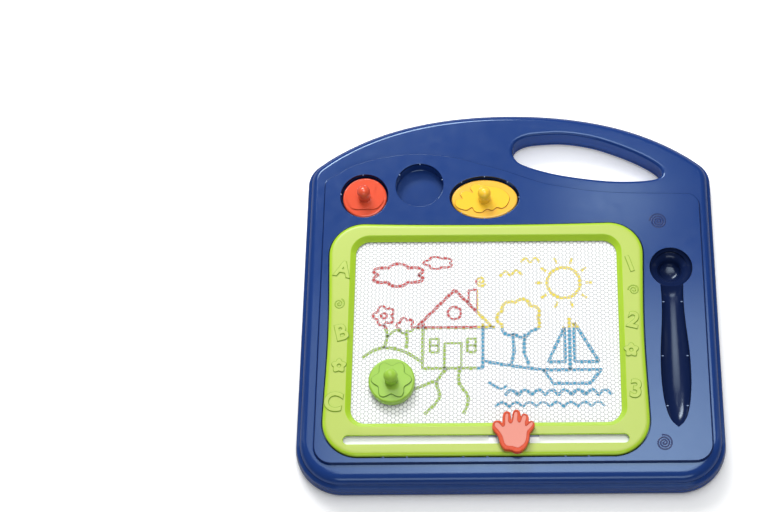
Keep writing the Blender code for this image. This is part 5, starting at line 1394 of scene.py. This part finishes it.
# %% Hand and palm
HAND_WIDTH, HAND_HEIGHT = 35.2 * MM, 36.4 * MM
hand_low, hand_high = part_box("eraser_knob")
ERASER_X = middle("eraser_carriage")[0]
hand_place = (ERASER_X, SLOT_Y + HAND_HEIGHT / 8)
hand_half = (HAND_WIDTH / 2, HAND_HEIGHT / 2)
hand_plan = drawn(HAND_SHARES, hand_place, hand_half, 4)
palm_plan = drawn(PALM_SHARES, hand_place, hand_half, 4)
hand_top = hand_high[2]
rim = [(-0.65 * MM, hand_low[2]), (-0.2 * MM, hand_low[2] + 0.2 * MM), (0, hand_low[2] + 0.7 * MM)]
rim += quarter(-0.9 * MM, 0.9 * MM, 6, 0, hand_top - 0.9 * MM)
hand = stack("eraser_hand", hand_plan, rim)
pocket = [(0, hand_top - 1.2 * MM), (0, hand_top - 0.25 * MM)]
pocket += [(0.25 * MM, hand_top + 0.01 * MM), (0.25 * MM, hand_top + OVER)]
carve(hand, [stack("face_cut", palm_plan, pocket)], "DIFFERENCE")
coat(hand, eraser_red)
soften(hand)
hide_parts("eraser_knob")
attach(hand, "eraser")

face_low, face_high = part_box("eraser_knob_face")
FIT = 0.05 * MM
plate = [(-FIT, face_low[2])] + quarter(-0.35 * MM, 0.35 * MM, 4, -FIT, face_high[2] - 0.35 * MM)
palm = stack("eraser_palm", palm_plan, plate)
coat(palm, eraser_salmon)
soften(palm)
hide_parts("eraser_knob_face")
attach(palm, "eraser")
print("hand faces:", len(hand.data.polygons), "palm faces:", len(palm.data.polygons))

# %% Shoe, white and grey, with painted shade along its upper edge
shoe_finish = Finish("shoe_white_grey_shade")
stem = shoe_finish.axis("Z").above(UNDER + 0.1 * MM, 20000)
# Painted shade: a grey band along the shoe's upper edge, under the slot's upper wall.
shade_band = shoe_finish.axis("Y").above(SLOT_Y + 2.0 * MM, 20000)
near = abs(shoe_finish.axis("X") - ERASER_X).below(12.6 * MM, 20000)
edge = shade_band + near - shade_band * near
grey = stem + edge - stem * edge
shoe_finish.paint(
    Base_Color=shoe_finish.mix(grey, (0.97, 0.97, 0.97), (0.27, 0.29, 0.42)),
    Roughness=shoe_finish.noise(3 * MM, 3.0) * 0.2 + 0.3,
)
coat(bpy.data.objects["eraser_carriage"], shoe_finish)
print("eraser dressed at x", round(ERASER_X, 4))

# %% [markdown]
# ## Stamps
#
# Each stamp is a hollow cap with a ball knob and a low raised picture: a bird, a fish or a
# flower. A darker line round each picture's foot is painted shade, standing in for a groove. The
# yellow stamp has two shades, its knob and picture lighter than its disc. The pictures are pieces
# of their own, so that a stack of rounded steps makes their soft edges.


# %% Pictures on the stamps
DUCK_SHARES = (
    (-0.48, -0.58), (0.00, -0.60), (0.52, -0.57), (0.74, -0.36), (0.85, -0.13), (0.74, -0.01),
    (0.46, 0.06), (0.44, 0.38), (0.47, 0.64), (0.34, 0.83), (0.08, 0.84), (-0.10, 0.68),
    (-0.12, 0.46), (-0.40, 0.34), (-0.68, 0.40), (-0.82, 0.22), (-0.80, -0.08), (-0.67, -0.39),
)  # fmt: skip
FISH_SHARES = (
    (-0.89, -0.23), (-0.84, -0.04), (-0.67, -0.01), (-0.74, 0.25), (-0.57, 0.39), (-0.36, 0.30),
    (-0.43, 0.55), (-0.32, 0.73), (-0.10, 0.70), (0.15, 0.62), (0.51, 0.49), (0.75, 0.08),
    (0.67, -0.34), (0.52, -0.50), (0.37, -0.45), (0.24, -0.60), (0.07, -0.54), (-0.10, -0.70),
    (-0.29, -0.65), (-0.38, -0.45), (-0.54, -0.58), (-0.72, -0.52), (-0.84, -0.41),
)  # fmt: skip
print("points of bird and fish:", len(DUCK_SHARES), len(FISH_SHARES))


# %% Knobs and caps
def joined(target, others):
    """Adds other pieces' faces to the target piece."""
    bm = bmesh.new()
    bm.from_mesh(target.data)
    for other in others:
        bm.from_mesh(other.data)
        bpy.data.objects.remove(other)
    bm.to_mesh(target.data)
    bm.free()
    return target


CAP_HEIGHT, CAP_ROUND, CAP_WALL = 8.5 * MM, 1.6 * MM, 1.8 * MM
BALL_HEIGHT, BALL_RADIUS, NECK_RADIUS, NECK_SPREAD = 10.5 * MM, 5.7 * MM, 5.4 * MM, 0.7 * MM
PICTURE_HEIGHT, PICTURE_ROUND = 0.7 * MM, 0.3 * MM


def knob_profile(face):
    """A ball on a neck that spreads where it meets the cap's face."""
    centre_z = face + BALL_HEIGHT
    last = math.pi - math.asin(NECK_RADIUS / BALL_RADIUS)
    turns = [0.02 + (last - 0.02) * k / 18 for k in range(19)]
    profile = [(BALL_RADIUS * math.sin(a), centre_z + BALL_RADIUS * math.cos(a)) for a in turns]
    for share, spread in ((0.70, 0.0), (0.12, 0.05), (0.07, 0.2), (0.03, 0.5), (0.0, 1.0)):
        profile.append((NECK_RADIUS + NECK_SPREAD * spread, face + (centre_z - face) * share))
    return profile + [(NECK_RADIUS + NECK_SPREAD, face - 0.8 * MM)]


def stamp_cap(colour, place, half_size, picture, disc_finish, picture_finish, shade_line_finish):
    """A cap with its knob, and its picture as a piece of its own."""
    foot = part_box(f"{colour}_stamp_cap")[0][2]
    face = foot + CAP_HEIGHT
    cap_plan = ellipse(place, *half_size, 128)
    steps = [(-0.25 * MM, foot), (0, foot + 0.25 * MM)]
    steps += quarter(-CAP_ROUND, CAP_ROUND, 8, 0, face - CAP_ROUND)
    cap = stack(f"{colour}_stamp", cap_plan, steps)
    inside = [(-CAP_WALL, foot - OVER), (-CAP_WALL, face - CAP_WALL)]
    carve(cap, [stack("inside", cap_plan, inside)], "DIFFERENCE")
    joined(cap, [lathe("knob", knob_profile(face), place)])
    coat(cap, disc_finish, picture_finish, second=lambda x, y, z: z > face + 0.1 * MM)
    soften(cap)
    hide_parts(f"{colour}_stamp_cap")
    raised = [(0.5 * MM, face - 0.3 * MM), (0.5 * MM, face + 0.04 * MM), (0, face + 0.05 * MM)]
    raised += quarter(-PICTURE_ROUND, PICTURE_ROUND, 4, 0, face + PICTURE_HEIGHT)
    relief = stack(f"{colour}_picture", picture, raised)
    # The picture's low flange and foot get the painted shade line.
    coat(relief, picture_finish, shade_line_finish, second=lambda x, y, z: z < face + 0.5 * MM)
    soften(relief)
    for piece in (cap, relief):
        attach(piece, f"{colour}_stamp")


print("stamp helpers ready")

# %% The three stamps
# Painted shade: darker lines round the pictures' feet.
red_shade_line = plastic("red_shade_line", (0.45, 0.030, 0.015), 0.3, Specular_IOR_Level=0.2)
amber_shade_line = plastic("amber_shade_line", (0.62, 0.26, 0.012), 0.3, Specular_IOR_Level=0.2)
green_shade_line = plastic("green_shade_line", (0.12, 0.27, 0.020), 0.3, Specular_IOR_Level=0.2)
ROUND = (STAMP_RADIUS, STAMP_RADIUS)
OVAL = (28.5 * MM, 18.7 * MM)
PETAL_REACH, PETAL_DIP = STAMP_RADIUS - 2.6 * MM, 0.13
duck = drawn(DUCK_SHARES, RED_PLACE, ROUND, 6)
fish = drawn(FISH_SHARES, YELLOW_PLACE, OVAL, 6)
petals = []
for step in range(120):
    a = math.tau * step / 120
    petals.append(around(GREEN_PLACE, a, PETAL_REACH * (1 - PETAL_DIP * (1 - math.cos(6 * a)))))
stamp_cap("red", RED_PLACE, ROUND, duck, stamp_red, stamp_red, red_shade_line)
stamp_cap("yellow", YELLOW_PLACE, OVAL, fish, stamp_amber, stamp_yellow, amber_shade_line)
stamp_cap("green", GREEN_PLACE, ROUND, petals, stamp_green, stamp_green, green_shade_line)
print("stamps made, picture points:", len(duck), len(fish), len(petals))

# %% [markdown]
# ## Raised letters, numbers and small catches
#
# The bezel's sides carry soft raised letters and numbers with flowers and spirals between them,
# all moulded with the bezel; their sloped sides are painted a deeper green, as painted shade. The
# panel has two raised spiral beads, painted a darker blue as painted shade of their lines. Small
# catches show in the gap along the bezel's foot, round the stamp wells and along the pen well,
# painted a light blue as painted highlight.
# Letters, flowers and beads are curves with a round bevel, made meshes and then moved into place.


# %% Raised shapes
def placed_curve(name, data, turn, place):
    """A curve made a mesh, turned and moved into place, with its seams welded."""
    made = bpy.data.objects.new(name, data)
    bpy.context.scene.collection.objects.link(made)
    mesh = evaluated_mesh(made)
    bpy.data.objects.remove(made)
    bm = bmesh.new()
    bm.from_mesh(mesh)
    bmesh.ops.remove_doubles(bm, verts=bm.verts, dist=0.002 * MM)
    middle_x = (min(v.co.x for v in bm.verts) + max(v.co.x for v in bm.verts)) / 2
    middle_y = (min(v.co.y for v in bm.verts) + max(v.co.y for v in bm.verts)) / 2
    low = min(v.co.z for v in bm.verts)
    to_origin = Matrix.Translation((-middle_x, -middle_y, -low))
    bm.transform(Matrix.Translation(place) @ Matrix.Rotation(turn, 4, "Z") @ to_origin)
    bm.to_mesh(mesh)
    bm.free()
    return new_piece("raised", mesh)


def letter(sign, size, turn, place):
    """A raised sign from the built-in font, fattened and rounded."""
    data = bpy.data.curves.new(sign, "FONT")
    data.body, data.size, data.offset = sign, size, 0.35 * MM
    data.extrude, data.bevel_depth, data.bevel_resolution = 0.15 * MM, 0.60 * MM, 3
    return placed_curve(sign, data, math.radians(turn), place)


def badge(place, radius):
    """A flower with a round hole, raised and rounded."""
    data = bpy.data.curves.new("badge", "CURVE")
    data.dimensions, data.fill_mode = "2D", "BOTH"
    data.extrude, data.bevel_depth, data.bevel_resolution = 0.15 * MM, 0.60 * MM, 3
    for inner in (False, True):
        spline = data.splines.new("POLY")
        spline.points.add(59)
        for k, point in enumerate(spline.points):
            a = math.tau * k / 60
            r = radius * (0.32 if inner else 0.84 + 0.16 * math.cos(5 * a))
            point.co = (*around((0, 0), a, r), 0, 1)
        spline.use_cyclic_u = True
    return placed_curve("badge", data, 0.3, place)


def spiral_bead(place, size, turns, start, radius, squash):
    """A raised bead along a flat spiral, half sunk and flattened about its own level."""
    data = bpy.data.curves.new("bead", "CURVE")
    data.dimensions, data.bevel_depth, data.bevel_resolution, data.use_fill_caps = "3D", radius, 3, True
    points = swirl((0, 0), size, turns, start)
    line = data.splines.new("POLY")
    line.points.add(len(points) - 1)
    for point, (x, y) in zip(line.points, points):
        point.co = (x * MM, y * MM, 0, 1)
    bead = placed_curve("bead", data, 0, Vector(place) - Vector((0, 0, radius)))
    level = Matrix.Translation((0, 0, place[2]))
    bead.data.transform(level @ Matrix.Scale(squash, 4, (0, 0, 1)) @ level.inverted())
    return bead


print("raised shape helpers ready")

# %% Letters, numbers and flowers on the bezel
on_face = BEZEL_FACE - 0.65 * MM
SIGNS = (
    ("A", 19, -12, -140.4, 16.6),
    ("B", 19, 14, -139.6, -40.4),
    ("C", 22, -8, -144.4, -100.9),
    ("1", 19, 18, 101.2, 19.9),
    ("2", 19, -14, 102.6, -31.0),
    ("3", 21, -6, 102.4, -91.4),
)
signs = [letter(sign, size * MM, turn, (x * MM, y * MM, on_face)) for sign, size, turn, x, y in SIGNS]
for x, y in ((-140.5, -69.9), (100.3, -57.7)):
    signs.append(badge((x * MM, y * MM, on_face), 6.0 * MM))
for x, y, start in ((-142.4, -14.5, 0.5), (103.2, -3.5, 2.5)):
    signs.append(spiral_bead((x * MM, y * MM, BEZEL_FACE), 4.8, 2.1, start, 0.55 * MM, 0.8))
emblems = joined(signs[0], signs[1:])
emblems.name = "bezel_emblems"
# Painted shade: the signs' sloped sides get a deeper green, which draws a dark outline round them.
emblem_lime_edge_shade = lime_finish("emblem_lime_edge_shade", (0.190, 0.370, 0.015))
coat(emblems, emblem_lime_edge_shade)
soften(emblems, 50)
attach(emblems, BOARD)
print("emblem faces:", len(emblems.data.polygons))

# %% Raised spirals on the panel
# Painted shade: the beads are painted darker than the shell, for the dark lines of the spirals.
spiral_shade_blue = plastic("spiral_shade_blue", (0.006, 0.018, 0.105), 0.25, Specular_IOR_Level=0.4)
beads = []
for x, y, size, turns in ((126.6, 61.2, 7.4, 3.3), (124.5, -136.2, 6.8, 3.1)):
    beads.append(spiral_bead((x * MM, y * MM, PANEL_LEVEL), size, turns, 1.2, 0.66 * MM, 0.4))
spirals = joined(beads[0], beads[1:])
spirals.name = "panel_spirals"
coat(spirals, spiral_shade_blue)
soften(spirals, 50)
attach(spirals, BOARD)
print("spiral faces:", len(spirals.data.polygons))

# %% Catches
FOOT_CATCHES = (-103, -83.7, -38.3, -19, 44, 62.7)
PEN_CATCHES = ((-13.4, 7.6), (-61.7, 10.3), (-105.1, 8.2))
WELL_CATCHES = ((95, 175), (15, 90, 150), (0, 48, 90, 132, 228, 270, 312))
# Painted highlight: the catches are painted a light blue where they catch the light.
catch_highlight_blue = plastic("catch_highlight_blue", (0.30, 0.40, 0.62), 0.2)
catch_steps = [(-0.1 * MM, 0), (0, 0.12 * MM), (0, 0.5 * MM), (-0.15 * MM, 0.65 * MM)]
catch = stack("catch", ellipse((0, 0), 0.95 * MM, 0.42 * MM, 10), catch_steps)
places = [(x * MM, BEZEL_LOW - 0.45 * MM, PANEL_LEVEL - 0.75 * MM) for x in FOOT_CATCHES]
for y, half in PEN_CATCHES:
    for side in (-1, 1):
        places.append((PEN_X + side * half * MM, y * MM, PANEL_LEVEL - 1.6 * MM))
turns = [0.0] * len(places)
for (centre, length, width), angles in zip(WELLS, WELL_CATCHES):
    for a in map(math.radians, angles):
        places.append((*around(centre, a, length, width), PANEL_LEVEL - 0.8 * MM))
        turns.append(math.atan2(length * math.sin(a), width * math.cos(a)))
catches = repeat("catches", catch, places, catch_highlight_blue, turns)
soften(catches, 50)
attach(catches, BOARD)
print("catches:", len(places))
